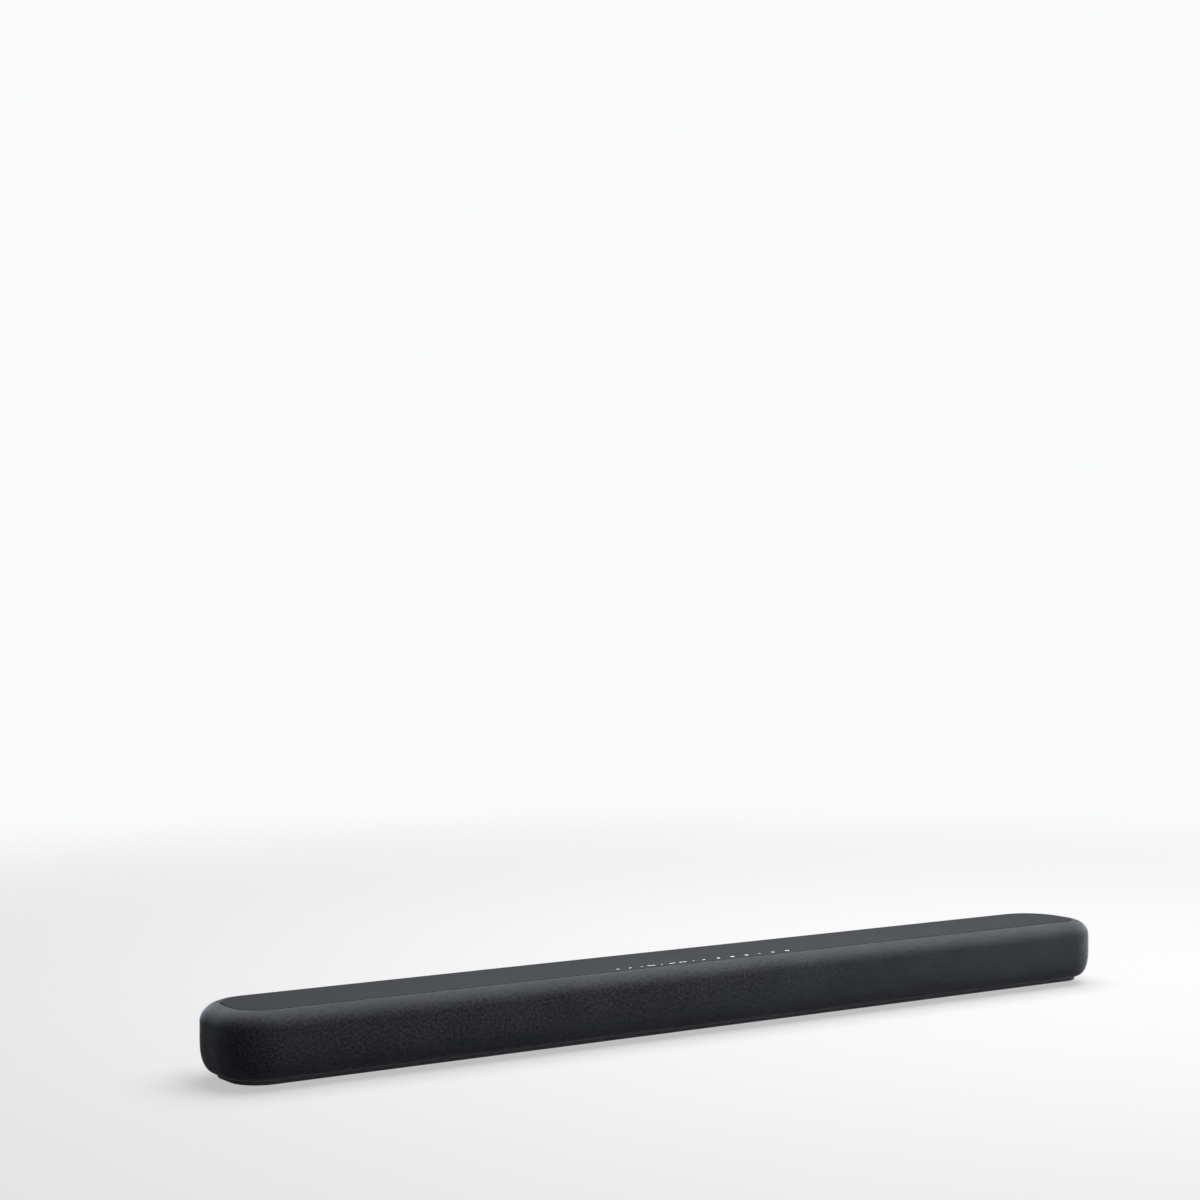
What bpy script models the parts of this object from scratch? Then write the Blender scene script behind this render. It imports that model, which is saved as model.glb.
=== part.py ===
"""Soundbar: a long low cabinet with a fabric grille, six drivers and its electronics.

Metres, +Z up. The origin is under the middle of the bar, on the surface that its feet stand on.
+X runs along the bar and the front faces -Y.
"""
import math

import bmesh
import bpy
from mathutils import Matrix, Vector

# ---- overall form -------------------------------------------------------------------------
LENGTH = 0.930
OUTLINE_DEPTH = 0.103
SPINE_PROUD = 0.006
HEIGHT = 0.062
FOOT_DROP = 0.004
FRONT_RADIUS = 0.039
REAR_RADIUS = 0.0477
REAR_RETURN = 0.006

RIM_HEIGHT = 0.003
LOWER_INSET = 0.0138
LOWER_RISE = 0.0276
LOWER_POWER = 2.5
UPPER_INSET = 0.0175
UPPER_DROP = 0.0142
GRILLE_EDGE_INSET = 0.0154

# ---- walls and clearances -----------------------------------------------------------------
FIT = 0.0003
SEAM = 0.0005
PANEL_GAP = 0.0014
FABRIC = 0.0008
FRAME_WALL = 0.0020
CABINET_WALL = 0.0030
COVER_WALL = 0.0025
PANEL_THICK = 0.0025
BOARD_THICK = 0.0016

# ---- resolution of the round stretches ----------------------------------------------------
CORNER_STEPS = 6
PLATE_CORNER_STEPS = 18
ROUND_STEPS = 5
REAR_ROUND_STEPS = 10
TURN_STEPS = 14
ROLL_STEPS = 4
DOME_STEPS = 3
SCREW_SIDES = 10
END_STEPS = 10
PIN_SIDES = 16
KEYHOLE_STEPS = 12
HOLE_SIDES = 12
ROUTE_STEPS = 4

# ---- drivers ------------------------------------------------------------------------------
WOOFER_XS = {"outer_left": -0.370, "inner_left": -0.100, "inner_right": 0.100, "outer_right": 0.370}
TWEETER_XS = {"left": -0.312, "right": 0.312}
FLANGE_THICK = 0.0015

WOOFER_FLANGE_R = 0.0230
WOOFER_HOLE_R = 0.0205
WOOFER_DEPTH = 0.0220
WOOFER_MAGNET_R = 0.0145
WOOFER_MAGNET_LENGTH = 0.0095
SURROUND_OUTER_R = 0.0192
SURROUND_ROLL = 0.0034
CONE_R = 0.0152
CONE_NECK_R = 0.0078
CONE_DEPTH = 0.0080
CAP_SHOULDER = (0.6, 0.7)
CONE_WALL = 0.0006
DUST_CAP_RISE = 0.0024
COIL_WALL = 0.0008
COIL_LENGTH = 0.0080
COIL_CLEARANCE = 0.0007
BASKET_WALL = 0.0012

TWEETER_FLANGE_R = 0.0165
TWEETER_HOLE_R = 0.0140
TWEETER_DEPTH = 0.0150
TWEETER_MAGNET_R = 0.0130
DOME_R = 0.0090
DOME_RISE = 0.0030
DOME_WALL = 0.0005
DOME_COIL = 0.0035
DOME_SETBACK = 0.0010
DOME_CLEARANCE = 0.0008

SLOT_WIDTH = 0.0050
SLOT_PITCH = 0.0080
SLOT_LOW = 0.0060
SLOT_TALL = 0.0330

# ---- boards, bays and sockets -------------------------------------------------------------
BOARD_LIFT = 0.0110
MAIN_BOARD_LENGTH = 0.146
POWER_BOARD_LENGTH = 0.120
POWER_BOARD_X = -0.232
BOARD_FRONT_Y = -0.0040
POST_R = 0.0028
POST_SIDES = 8
# flat chips as (offset along the board, y, width, depth, height over the board)
MAIN_CHIPS = (
    (-0.030, 0.006, 0.014, 0.014, 0.0016),
    (-0.052, 0.010, 0.008, 0.010, 0.0012),
    (0.062, 0.004, 0.010, 0.006, 0.0050),
)
POWER_CHIPS = (
    (0.052, 0.006, 0.010, 0.008, 0.0060),
    (-0.050, 0.020, 0.008, 0.010, 0.0090),
)

SINK_LEFT = 0.012
SINK_SETBACK = 0.002
SINK_LENGTH = 0.018
SINK_BASE = 0.0030
SINK_TALL = 0.0160
FIN_COUNT = 7
FIN_PITCH = 0.0050
FIN_WALL = 0.0016

CORE_GAP = 0.002
CORE_WIDTH = 0.026
CORE_DEPTH = 0.024
CORE_TALL = 0.020
WINDING_PROUD = 0.002
WINDING_INSET = 0.006
WINDING_CLEAR = 0.004

CAN_R = 0.008
CAN_LENGTH = 0.026
CAN_X = POWER_BOARD_X - 0.026
CAN_NECK = 0.86
CAN_GROOVE = 0.0008
CAN_GROOVE_HALF = 0.001

MODULE_GAP = 0.050
MODULE_LENGTH = 0.030
MODULE_WIDTH = 0.020
MODULE_Y = 0.002
SHIELD_INSET = (0.004, 0.008)
SHIELD_MARGIN = 0.002
SHIELD_TALL = 0.0042

SPINE_LENGTH = 0.690
SPINE_LOW = 0.0150
SPINE_TALL = 0.0310
SPINE_WALL = 0.0025
BAY_WALL = 0.0020
BAY_DEPTH = 0.0185
BAY_TALL = 0.0260
BAY_LOW = 0.0175
IO_BAY_LENGTH = 0.112
POWER_BAY_LENGTH = 0.044

HDMI_XS = {"hdmi_input": -0.040, "hdmi_output": -0.016}
HDMI_WIDTH = 0.0150
HDMI_TALL = 0.0056
HDMI_CHAMFER = 0.0014
USB_X = 0.010
USB_WIDTH = 0.0131
USB_TALL = 0.0057
USB_CHAMFER = 0.0002
SOCKET_WALL = 0.0004
SOCKET_DEPTH = 0.0120
SOCKET_PROUD = 0.0006
TONGUE_THICK = 0.0012
OPTICAL_X = 0.036
OPTICAL_WIDTH = 0.0100
OPTICAL_TALL = 0.0104
OPTICAL_PORT = 0.0070
OPTICAL_DEPTH = 0.0150
OPTICAL_PORT_DEPTH = 0.0115
SHUTTER_THICK = 0.0008
SHUTTER_SETBACK = 0.0006
SHUTTER_KNUCKLE_R = 0.0006
INLET_WIDTH = 0.0240
INLET_TALL = 0.0130
INLET_DEPTH = 0.0200
INLET_PORT_WIDTH = 0.0174
INLET_PORT_TALL = 0.0086
INLET_PORT_DEPTH = 0.0125
INLET_PIN_R = 0.0012
INLET_PIN_PITCH = 0.0086
INLET_PIN_LENGTH = 0.0095

WALL_PLATE_X = 0.300
WALL_PLATE_WIDTH = 0.020
WALL_PLATE_TALL = 0.024
WALL_PLATE_THICK = 0.0015
KEYHOLE_R = 0.0045
KEYHOLE_SLOT = 0.0044
KEYHOLE_RUN = 0.0080
SCREW_HEAD_ROOM = 0.0045

# ---- panel, feet and fasteners ------------------------------------------------------------
TOUCH_LEFT = -0.112
TOUCH_RIGHT = 0.104
TOUCH_FRONT = -0.0345
TOUCH_DEPTH = 0.0180
TOUCH_DROP = 0.0050
GUIDE_RIGHT = 0.002
GUIDE_WIDTH = 0.0060
GUIDE_SETBACK = 0.0015
EDGE_ROUND = 0.0006
MIC_R = 0.0006
MIC_PITCH = 0.036
HOOK_XS = (-0.400, -0.215, 0.215, 0.400)
HOOK_WIDTH = 0.010
HOOK_DROP = 0.0050
HOOK_THICK = 0.0015

FOOT_X = 0.385
FOOT_Y = 0.0170
FOOT_LENGTH = 0.034
FOOT_WIDTH = 0.010
FOOT_SINK = 0.0012

SCREW_R = 0.0015
SCREW_LENGTH = 0.0110
SCREW_HEAD_R = 0.0028
SCREW_HEAD_TALL = 0.0014
FRONT_SCREW_XS = (-0.215, 0.000, 0.215)
REAR_SCREW_XS = (-0.330, 0.120, 0.330)
BOSS_WIDTH = 0.0090
BOSS_TALL = 0.0140

LEAD_R = 0.0014
RIBBON_WIDTH = 0.0120
RIBBON_THICK = 0.0005
RIBBON_X = 0.040
POWER_LEAD_Y = 0.010

# ---- places worked out from the sizes above ------------------------------------------------
TOTAL_DEPTH = OUTLINE_DEPTH + SPINE_PROUD
FRONT_Y = -TOTAL_DEPTH / 2
REAR_Y = FRONT_Y + OUTLINE_DEPTH
SPINE_Y = REAR_Y + SPINE_PROUD
FLOOR_TOP = FOOT_DROP + RIM_HEIGHT
SKIN_BASE = FLOOR_TOP + SEAM
PANEL_UNDER = HEIGHT - PANEL_THICK
ARC_X = LENGTH / 2 - REAR_RADIUS
SEAM_X = ARC_X - REAR_RETURN
CABINET_INSET = GRILLE_EDGE_INSET + FIT
BAFFLE_Y = FRONT_Y + CABINET_INSET
BAFFLE_BACK_Y = BAFFLE_Y + CABINET_WALL
CABINET_LOW = FLOOR_TOP + FIT
CABINET_TOP = PANEL_UNDER - FIT
DRIVER_Z = (CABINET_LOW + CABINET_TOP) / 2
BOARD_LOW = FLOOR_TOP + BOARD_LIFT
BOARD_TOP = BOARD_LOW + BOARD_THICK
BAY_FLOOR_Y = SPINE_Y - BAY_DEPTH
BAY_BACK_Y = BAY_FLOOR_Y - BAY_WALL
BOARD_BACK_Y = BAY_BACK_Y - FIT
SOCKET_FACE_Y = BAY_FLOOR_Y + SOCKET_PROUD
SOCKET_LOW = BOARD_TOP + FIT
WALL_PLATE_Z = SPINE_LOW + SPINE_TALL / 2
# a turned piece fits a hole of the same number of sides, however the two are turned
FLAT_SHARE = math.cos(math.pi / TURN_STEPS)

for old in list(bpy.data.objects):
    bpy.data.objects.remove(old, do_unlink=True)

PARTS = bpy.data.collections.new("soundbar")
CUTTERS = bpy.data.collections.new("cutters")
bpy.context.scene.collection.children.link(PARTS)
bpy.context.scene.collection.children.link(CUTTERS)


# ---- modelling helpers --------------------------------------------------------------------
def material(name, color, roughness, metallic=0.0):
    """One Principled material per sub-part."""
    made = bpy.data.materials.new(name)
    made.use_nodes = True
    shader = made.node_tree.nodes["Principled BSDF"]
    shader.inputs["Base Color"].default_value = (*color, 1.0)
    shader.inputs["Roughness"].default_value = roughness
    shader.inputs["Metallic"].default_value = metallic
    return made


def part(name, mesh, finish, collection=PARTS):
    """An object from a mesh, in its collection, with its material."""
    mesh.name = name
    made = bpy.data.objects.new(name, mesh)
    collection.objects.link(made)
    if finish is not None:
        mesh.materials.clear()
        mesh.materials.append(material(name, *finish))
    return made


def from_bmesh(name, shape):
    mesh = bpy.data.meshes.new(name)
    shape.to_mesh(mesh)
    shape.free()
    return mesh


def add_box(shape, low, high):
    """A box between two corners, added to a bmesh."""
    low = Vector(low)
    high = Vector(high)
    place = Matrix.Translation((low + high) / 2) @ Matrix.Diagonal((*(high - low), 1.0))
    bmesh.ops.create_cube(shape, size=1.0, matrix=place)


def boxes(name, corners):
    """A mesh of separate boxes, each given by its two corners."""
    shape = bmesh.new()
    for low, high in corners:
        add_box(shape, low, high)
    return from_bmesh(name, shape)


def add_rod(shape, start, end, radius, sides=HOLE_SIDES):
    """A capped cylinder between two points, added to a bmesh."""
    start = Vector(start)
    end = Vector(end)
    along = end - start
    turn = along.to_track_quat("Z", "Y").to_matrix().to_4x4()
    place = Matrix.Translation((start + end) / 2) @ turn
    bmesh.ops.create_cone(shape, cap_ends=True, segments=sides, radius1=radius, radius2=radius,
                          depth=along.length, matrix=place)


def rods(name, runs, radius, sides=HOLE_SIDES):
    """A mesh of separate cylinders of one radius."""
    shape = bmesh.new()
    for start, end in runs:
        add_rod(shape, start, end, radius, sides)
    return from_bmesh(name, shape)


def poly_curve(name, points, cyclic, dimensions="2D"):
    """A polyline curve object through the points."""
    data = bpy.data.curves.new(name, "CURVE")
    data.dimensions = dimensions
    spline = data.splines.new("POLY")
    spline.points.add(len(points) - 1)
    for knot, point in zip(spline.points, points):
        place = (*point, 0.0) if len(point) == 2 else point
        knot.co = (*place, 1.0)
    spline.use_cyclic_u = cyclic
    made = bpy.data.objects.new(name, data)
    CUTTERS.objects.link(made)
    return made


def mesh_of_curve(curve, helpers=()):
    """The closed mesh of a curve object, whose curve is then removed."""
    bpy.context.view_layer.update()
    graph = bpy.context.evaluated_depsgraph_get()
    mesh = bpy.data.meshes.new_from_object(curve.evaluated_get(graph))
    shape = bmesh.new()
    shape.from_mesh(mesh)
    bmesh.ops.remove_doubles(shape, verts=shape.verts, dist=1e-6)
    bmesh.ops.recalc_face_normals(shape, faces=shape.faces)
    shape.to_mesh(mesh)
    shape.free()
    for used in (curve, *helpers):
        bpy.data.objects.remove(used, do_unlink=True)
    return mesh


def plate(name, outline, low, high):
    """A flat outline in plan, thickened from one height to another."""
    curve = poly_curve(name, outline, True)
    curve.data.fill_mode = "BOTH"
    curve.data.extrude = (high - low) / 2
    mesh = mesh_of_curve(curve)
    mesh.transform(Matrix.Translation((0, 0, (low + high) / 2)))
    return mesh


def prism(name, outline, near, far):
    """An outline of (x, z) points, run along Y from near to far."""
    mesh = plate(name, outline, -far, -near)
    mesh.transform(Matrix.Rotation(math.radians(90), 4, "X"))
    return mesh


def sweep(name, section, path):
    """A closed section of (outward, up) points carried along an open path in plan."""
    profile = poly_curve(name + "_section", section, True)
    curve = poly_curve(name, path, False)
    curve.data.bevel_mode = "OBJECT"
    curve.data.bevel_object = profile
    curve.data.use_fill_caps = True
    return mesh_of_curve(curve, (profile,))


def tube(name, route, radius):
    """A round lead through the points of its route."""
    curve = poly_curve(name, route, False, "3D")
    curve.data.bevel_depth = radius
    curve.data.bevel_resolution = 2
    curve.data.use_fill_caps = True
    return mesh_of_curve(curve)


def turned(name, profile, finish, closed, steps=TURN_STEPS):
    """A profile of (radius, height) points turned about its local Z axis."""
    shape = bmesh.new()
    knots = [shape.verts.new((radius, 0.0, height)) for radius, height in profile]
    for first, second in zip(knots, knots[1:]):
        shape.edges.new((first, second))
    if closed:
        shape.edges.new((knots[-1], knots[0]))
    made = part(name, from_bmesh(name, shape), finish)
    screw = made.modifiers.new("turn", "SCREW")
    screw.steps = steps
    screw.render_steps = steps
    screw.use_merge_vertices = True
    screw.merge_threshold = 0.00001
    screw.use_smooth_shade = True
    return made


def face_front(made, x, y, z):
    """Stands a turned piece with its local +Z towards the front."""
    made.location = (x, y, z)
    made.rotation_euler = (math.radians(90), 0, 0)
    return made


def shape_with(target, mesh, operation):
    """A Boolean of a helper mesh on a part."""
    tool = part(target.name + "_" + mesh.name, mesh, None, CUTTERS)
    tool.hide_render = True
    tool.display_type = "WIRE"
    modifier = target.modifiers.new(mesh.name, "BOOLEAN")
    modifier.operation = operation
    modifier.object = tool
    modifier.solver = "EXACT"


def cut(target, mesh):
    shape_with(target, mesh, "DIFFERENCE")


def add(target, mesh):
    shape_with(target, mesh, "UNION")


def bevel(target, width, angle=40):
    """A rounded edge on the sharp corners."""
    modifier = target.modifiers.new("edge", "BEVEL")
    modifier.width = width
    modifier.segments = 1
    modifier.limit_method = "ANGLE"
    modifier.angle_limit = math.radians(angle)


# ---- outlines of the body -----------------------------------------------------------------
def arc(center, radius, start, end, steps):
    """Points of an arc in plan, angles in degrees."""
    points = []
    for i in range(steps + 1):
        angle = math.radians(start + (end - start) * i / steps)
        points.append((center[0] + radius * math.cos(angle), center[1] + radius * math.sin(angle)))
    return points


def wrap_path(inset=0.0, steps=CORNER_STEPS):
    """From the left rear seam round the left end, the front and the right end, anticlockwise."""
    front_x = LENGTH / 2 - FRONT_RADIUS
    front_center_y = FRONT_Y + FRONT_RADIUS
    rear_center_y = REAR_Y - REAR_RADIUS
    front_r = FRONT_RADIUS - inset
    rear_r = REAR_RADIUS - inset
    return (
        [(-SEAM_X, rear_center_y + rear_r)]
        + arc((-ARC_X, rear_center_y), rear_r, 90, 180, steps)
        + arc((-front_x, front_center_y), front_r, 180, 270, steps)
        + arc((front_x, front_center_y), front_r, 270, 360, steps)
        + arc((ARC_X, rear_center_y), rear_r, 0, 90, steps)
        + [(SEAM_X, rear_center_y + rear_r)]
    )


def side_profile(steps):
    """(inset, height) points of the outside, from the base rim up to the panel's edge.

    The lower stretch is a quarter superellipse, the upper one an ellipse that stops at the panel.
    """
    points = []
    for i in range(steps + 1):
        angle = math.pi / 2 * i / steps
        across = math.sin(angle) ** (2 / LOWER_POWER)
        rise = abs(math.cos(angle)) ** (2 / LOWER_POWER)
        points.append((LOWER_INSET * (1 - across), SKIN_BASE + LOWER_RISE * (1 - rise)))
    last = math.acos(1 - GRILLE_EDGE_INSET / UPPER_INSET)
    for i in range(steps + 1):
        angle = last * i / steps
        points.append((UPPER_INSET * (1 - math.cos(angle)), HEIGHT - UPPER_DROP * (1 - math.sin(angle))))
    return points


def shell_section(outer, inner, steps=ROUND_STEPS):
    """The closed section between two depths under the outside, as (outward, up) points."""
    points = side_profile(steps)
    normals = []
    for i in range(len(points)):
        before = Vector(points[max(i - 1, 0)])
        after = Vector(points[min(i + 1, len(points) - 1)])
        along = (after - before).normalized()
        normals.append(Vector((along.y, -along.x)))
    normals[0] = Vector((0.0, 1.0))
    normals[-1] = Vector((0.0, -1.0))
    layers = []
    for depth in (outer, inner):
        layers.append([(-(p[0] + n.x * depth), p[1] + n.y * depth) for p, n in zip(points, normals)])
    return layers[0] + layers[1][::-1]


def stadium(x, y, length, width, steps=END_STEPS):
    """A round-ended outline, long in x."""
    run = (length - width) / 2
    right = arc((x + run, y), width / 2, -90, 90, steps)
    left = arc((x - run, y), width / 2, 90, 270, steps)
    return right + left


# ---- shell --------------------------------------------------------------------------------
def build_grille():
    """The stretched cloth and the slotted moulding under it."""
    mesh = sweep("grille_fabric", shell_section(0.0, FABRIC), wrap_path())
    part("grille_fabric", mesh, ((0.030, 0.031, 0.034), 0.95))
    outer = FABRIC + FIT
    mesh = sweep("grille_frame", shell_section(outer, outer + FRAME_WALL), wrap_path())
    frame = part("grille_frame", mesh, ((0.02, 0.02, 0.02), 0.6))
    slots = []
    for x in (*WOOFER_XS.values(), *TWEETER_XS.values()):
        half = WOOFER_FLANGE_R if x in WOOFER_XS.values() else TWEETER_FLANGE_R
        count = int(half / SLOT_PITCH)
        for i in range(-count, count + 1):
            middle = x + i * SLOT_PITCH
            low = (middle - SLOT_WIDTH / 2, FRONT_Y - FIT, SKIN_BASE + SLOT_LOW)
            high = (middle + SLOT_WIDTH / 2, BAFFLE_Y - FIT, SKIN_BASE + SLOT_LOW + SLOT_TALL)
            slots.append((low, high))
    cut(frame, boxes("sound_slots", slots))


def build_cabinet():
    """Baffle and end walls in one moulding, with screw bosses behind the baffle."""
    section = [(-CABINET_INSET, CABINET_LOW), (-CABINET_INSET, CABINET_TOP)]
    section += [(p[0] - CABINET_WALL, p[1]) for p in section[::-1]]
    cabinet = part("front_cabinet", sweep("front_cabinet", section, wrap_path()), ((0.03, 0.03, 0.03), 0.5))
    bosses = []
    for x in FRONT_SCREW_XS:
        low = (x - BOSS_WIDTH / 2, BAFFLE_BACK_Y - CABINET_WALL / 2, CABINET_LOW)
        high = (x + BOSS_WIDTH / 2, BAFFLE_BACK_Y + BOSS_WIDTH, CABINET_LOW + BOSS_TALL)
        bosses.append((low, high))
    add(cabinet, boxes("screw_bosses", bosses))
    front = BAFFLE_Y - CABINET_WALL
    back = BAFFLE_BACK_Y + CABINET_WALL
    holes = [((x, front, DRIVER_Z), (x, back, DRIVER_Z)) for x in WOOFER_XS.values()]
    cut(cabinet, rods("woofer_holes", holes, WOOFER_HOLE_R, TURN_STEPS))
    holes = [((x, front, DRIVER_Z), (x, back, DRIVER_Z)) for x in TWEETER_XS.values()]
    cut(cabinet, rods("tweeter_holes", holes, TWEETER_HOLE_R, TURN_STEPS))
    y = screw_rows()[0][1]
    runs = [((x, y, CABINET_LOW - RIM_HEIGHT), (x, y, CABINET_LOW + SCREW_LENGTH)) for x in FRONT_SCREW_XS]
    cut(cabinet, rods("screw_holes", runs, SCREW_R + FIT))


def screw_rows():
    """The base screws as (xs, y) rows: into the cabinet's bosses and into the rear cover's."""
    front_y = BAFFLE_BACK_Y + BOSS_WIDTH / 2
    rear_y = REAR_Y - LOWER_INSET - BOSS_WIDTH / 2 - SEAM
    return ((FRONT_SCREW_XS, front_y), (REAR_SCREW_XS, rear_y))


def build_bottom_cover():
    """Floor plate with its visible rim, board posts, foot pockets and countersunk screw holes."""
    mesh = plate("bottom_cover", wrap_path(LOWER_INSET, PLATE_CORNER_STEPS), FOOT_DROP, FLOOR_TOP)
    cover = part("bottom_cover", mesh, ((0.045, 0.046, 0.05), 0.55))
    posts = []
    for x in board_post_xs():
        for y in (BOARD_FRONT_Y + 2 * POST_R, BOARD_BACK_Y - 2 * POST_R):
            posts.append(((x, y, FLOOR_TOP - RIM_HEIGHT / 2), (x, y, BOARD_LOW - FIT)))
    add(cover, rods("board_posts", posts, POST_R, POST_SIDES))
    for x in (-FOOT_X, FOOT_X):
        for y in (-FOOT_Y, FOOT_Y):
            outline = stadium(x, y, FOOT_LENGTH + 2 * FIT, FOOT_WIDTH + 2 * FIT)
            cut(cover, plate("foot_pocket", outline, FOOT_DROP - FIT, FOOT_DROP + FOOT_SINK))
    shanks = []
    heads = []
    for xs, y in screw_rows():
        for x in xs:
            shanks.append(((x, y, FOOT_DROP - FIT), (x, y, FLOOR_TOP + FIT)))
            heads.append(((x, y, FOOT_DROP - FIT), (x, y, FOOT_DROP + SCREW_HEAD_TALL + FIT)))
    cut(cover, rods("screw_shanks", shanks, SCREW_R + FIT))
    cut(cover, rods("screw_heads", heads, SCREW_HEAD_R + FIT))


def board_post_xs():
    """The posts' places along the bar, two rows of two for each board."""
    half_main = MAIN_BOARD_LENGTH / 2 - 2 * POST_R
    half_power = POWER_BOARD_LENGTH / 2 - 2 * POST_R
    return (-half_main, half_main, POWER_BOARD_X - half_power, POWER_BOARD_X + half_power)


def bay_box(x, length, wall):
    """The corners of a bay's room, grown by a wall on every side but its mouth."""
    low = (x - length / 2 - wall, BAY_FLOOR_Y - wall, BAY_LOW - wall)
    high = (x + length / 2 + wall, SPINE_Y - SPINE_WALL / 2, BAY_LOW + BAY_TALL + wall)
    return low, high


def build_rear_cover():
    """Rear wall with a hollow spine, two sunk bays and pads for the wall plates."""
    half = SEAM_X - SEAM
    path = [(half, REAR_Y), (-half, REAR_Y)]
    mesh = sweep("rear_cover", shell_section(0.0, COVER_WALL, REAR_ROUND_STEPS), path)
    cover = part("rear_cover", mesh, ((0.025, 0.025, 0.026), 0.55))
    low = (-SPINE_LENGTH / 2, REAR_Y - COVER_WALL / 2, SPINE_LOW)
    high = (SPINE_LENGTH / 2, SPINE_Y, SPINE_LOW + SPINE_TALL)
    add(cover, boxes("spine", [(low, high)]))
    inner_low = (low[0] + SPINE_WALL, REAR_Y - 3 * COVER_WALL, low[2] + SPINE_WALL)
    inner_high = (high[0] - SPINE_WALL, SPINE_Y - SPINE_WALL, high[2] - SPINE_WALL)
    cut(cover, boxes("spine_hollow", [(inner_low, inner_high)]))
    bays = ((0.0, IO_BAY_LENGTH), (POWER_BOARD_X, POWER_BAY_LENGTH))
    add(cover, boxes("bay_walls", [bay_box(x, length, BAY_WALL) for x, length in bays]))
    pads = []
    reach = WALL_PLATE_WIDTH / 2 + SPINE_WALL
    deep = SPINE_Y - WALL_PLATE_THICK - SCREW_HEAD_ROOM - SPINE_WALL
    for x in (-WALL_PLATE_X, WALL_PLATE_X):
        low = (x - reach, deep, SPINE_LOW + SPINE_WALL / 2)
        high = (x + reach, SPINE_Y - SPINE_WALL / 2, SPINE_LOW + SPINE_TALL - SPINE_WALL / 2)
        pads.append((low, high))
    add(cover, boxes("plate_pads", pads))
    bosses = []
    rear_screw_y = screw_rows()[1][1]
    webs = []
    boss_top = SKIN_BASE + BOSS_TALL
    web_low = boss_top - 2 * COVER_WALL
    for x in REAR_SCREW_XS:
        left = x - BOSS_WIDTH / 2
        right = x + BOSS_WIDTH / 2
        low = (left, rear_screw_y - BOSS_WIDTH / 2, SKIN_BASE)
        high = (right, rear_screw_y + BOSS_WIDTH / 2, boss_top)
        bosses.append((low, high))
        low = (left + SEAM, rear_screw_y, web_low)
        high = (right - SEAM, REAR_Y - COVER_WALL, boss_top - SEAM)
        webs.append((low, high))
    add(cover, boxes("screw_bosses", bosses))
    add(cover, boxes("boss_webs", webs))
    rooms = []
    for x, length in bays:
        room_low, room_high = bay_box(x, length, 0.0)
        rooms.append((room_low, (room_high[0], SPINE_Y + FIT, room_high[2])))
    cut(cover, boxes("bay_rooms", rooms))
    seats, head_rooms = wall_plate_rooms()
    cut(cover, boxes("plate_seats", seats))
    cut(cover, boxes("screw_head_rooms", head_rooms))
    low_z = CABINET_LOW - FIT
    high_z = CABINET_LOW + SCREW_LENGTH
    runs = [((x, rear_screw_y, low_z), (x, rear_screw_y, high_z)) for x in REAR_SCREW_XS]
    cut(cover, rods("screw_holes", runs, SCREW_R + FIT))
    cut(cover, boxes("socket_windows", socket_windows()))


def wall_plate_rooms():
    """The sunk seat of each wall plate, and the room for a screw head behind it."""
    seats = []
    rooms = []
    half_x = WALL_PLATE_WIDTH / 2 + FIT
    half_z = WALL_PLATE_TALL / 2 + FIT
    seat_y = SPINE_Y - WALL_PLATE_THICK - FIT
    mouth_y = SPINE_Y + FIT
    ledge = half_x - SPINE_WALL
    rise = half_z - SPINE_WALL
    for x in (-WALL_PLATE_X, WALL_PLATE_X):
        low = (x - half_x, seat_y, WALL_PLATE_Z - half_z)
        high = (x + half_x, mouth_y, WALL_PLATE_Z + half_z)
        seats.append((low, high))
        low = (x - ledge, seat_y - SCREW_HEAD_ROOM, WALL_PLATE_Z - rise)
        high = (x + ledge, mouth_y, WALL_PLATE_Z + rise)
        rooms.append((low, high))
    return seats, rooms


def socket_windows():
    """The windows in the bays' floors that the sockets stand in."""
    sizes = [(x, HDMI_WIDTH, HDMI_TALL) for x in HDMI_XS.values()]
    sizes.append((USB_X, USB_WIDTH, USB_TALL))
    sizes.append((OPTICAL_X, OPTICAL_WIDTH, OPTICAL_TALL))
    sizes.append((POWER_BOARD_X, INLET_WIDTH, INLET_TALL))
    windows = []
    for x, width, tall in sizes:
        half = width / 2 + FIT
        low = (x - half, BAY_BACK_Y - FIT, SOCKET_LOW - FIT)
        high = (x + half, BAY_FLOOR_Y + FIT, SOCKET_LOW + tall + FIT)
        windows.append((low, high))
    return windows


def build_top_panel():
    """Flush satin plate with microphone holes, hooks and posts for the touch board."""
    inset = GRILLE_EDGE_INSET + PANEL_GAP
    mesh = plate("top_panel", wrap_path(inset, PLATE_CORNER_STEPS), PANEL_UNDER, HEIGHT)
    panel = part("top_panel", mesh, ((0.055, 0.057, 0.062), 0.38))
    hook_y = BAFFLE_BACK_Y + FIT
    hooks = []
    for x in HOOK_XS:
        low = (x - HOOK_WIDTH / 2, hook_y, PANEL_UNDER - HOOK_DROP)
        high = (x + HOOK_WIDTH / 2, hook_y + HOOK_THICK, PANEL_UNDER + FIT)
        hooks.append((low, high))
    add(panel, boxes("hooks", hooks))
    posts = []
    for x in (TOUCH_LEFT + POST_R, TOUCH_RIGHT - POST_R):
        y = TOUCH_FRONT + TOUCH_DEPTH - POST_R
        posts.append(((x, y, PANEL_UNDER - TOUCH_DROP + FIT), (x, y, PANEL_UNDER + FIT)))
    add(panel, rods("touch_posts", posts, POST_R, POST_SIDES))
    mic_y = TOUCH_FRONT + TOUCH_DEPTH / 2
    holes = [((x, mic_y, PANEL_UNDER - FIT), (x, mic_y, HEIGHT + FIT)) for x in (-MIC_PITCH, MIC_PITCH)]
    cut(panel, rods("microphone_holes", holes, MIC_R, 8))


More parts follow.
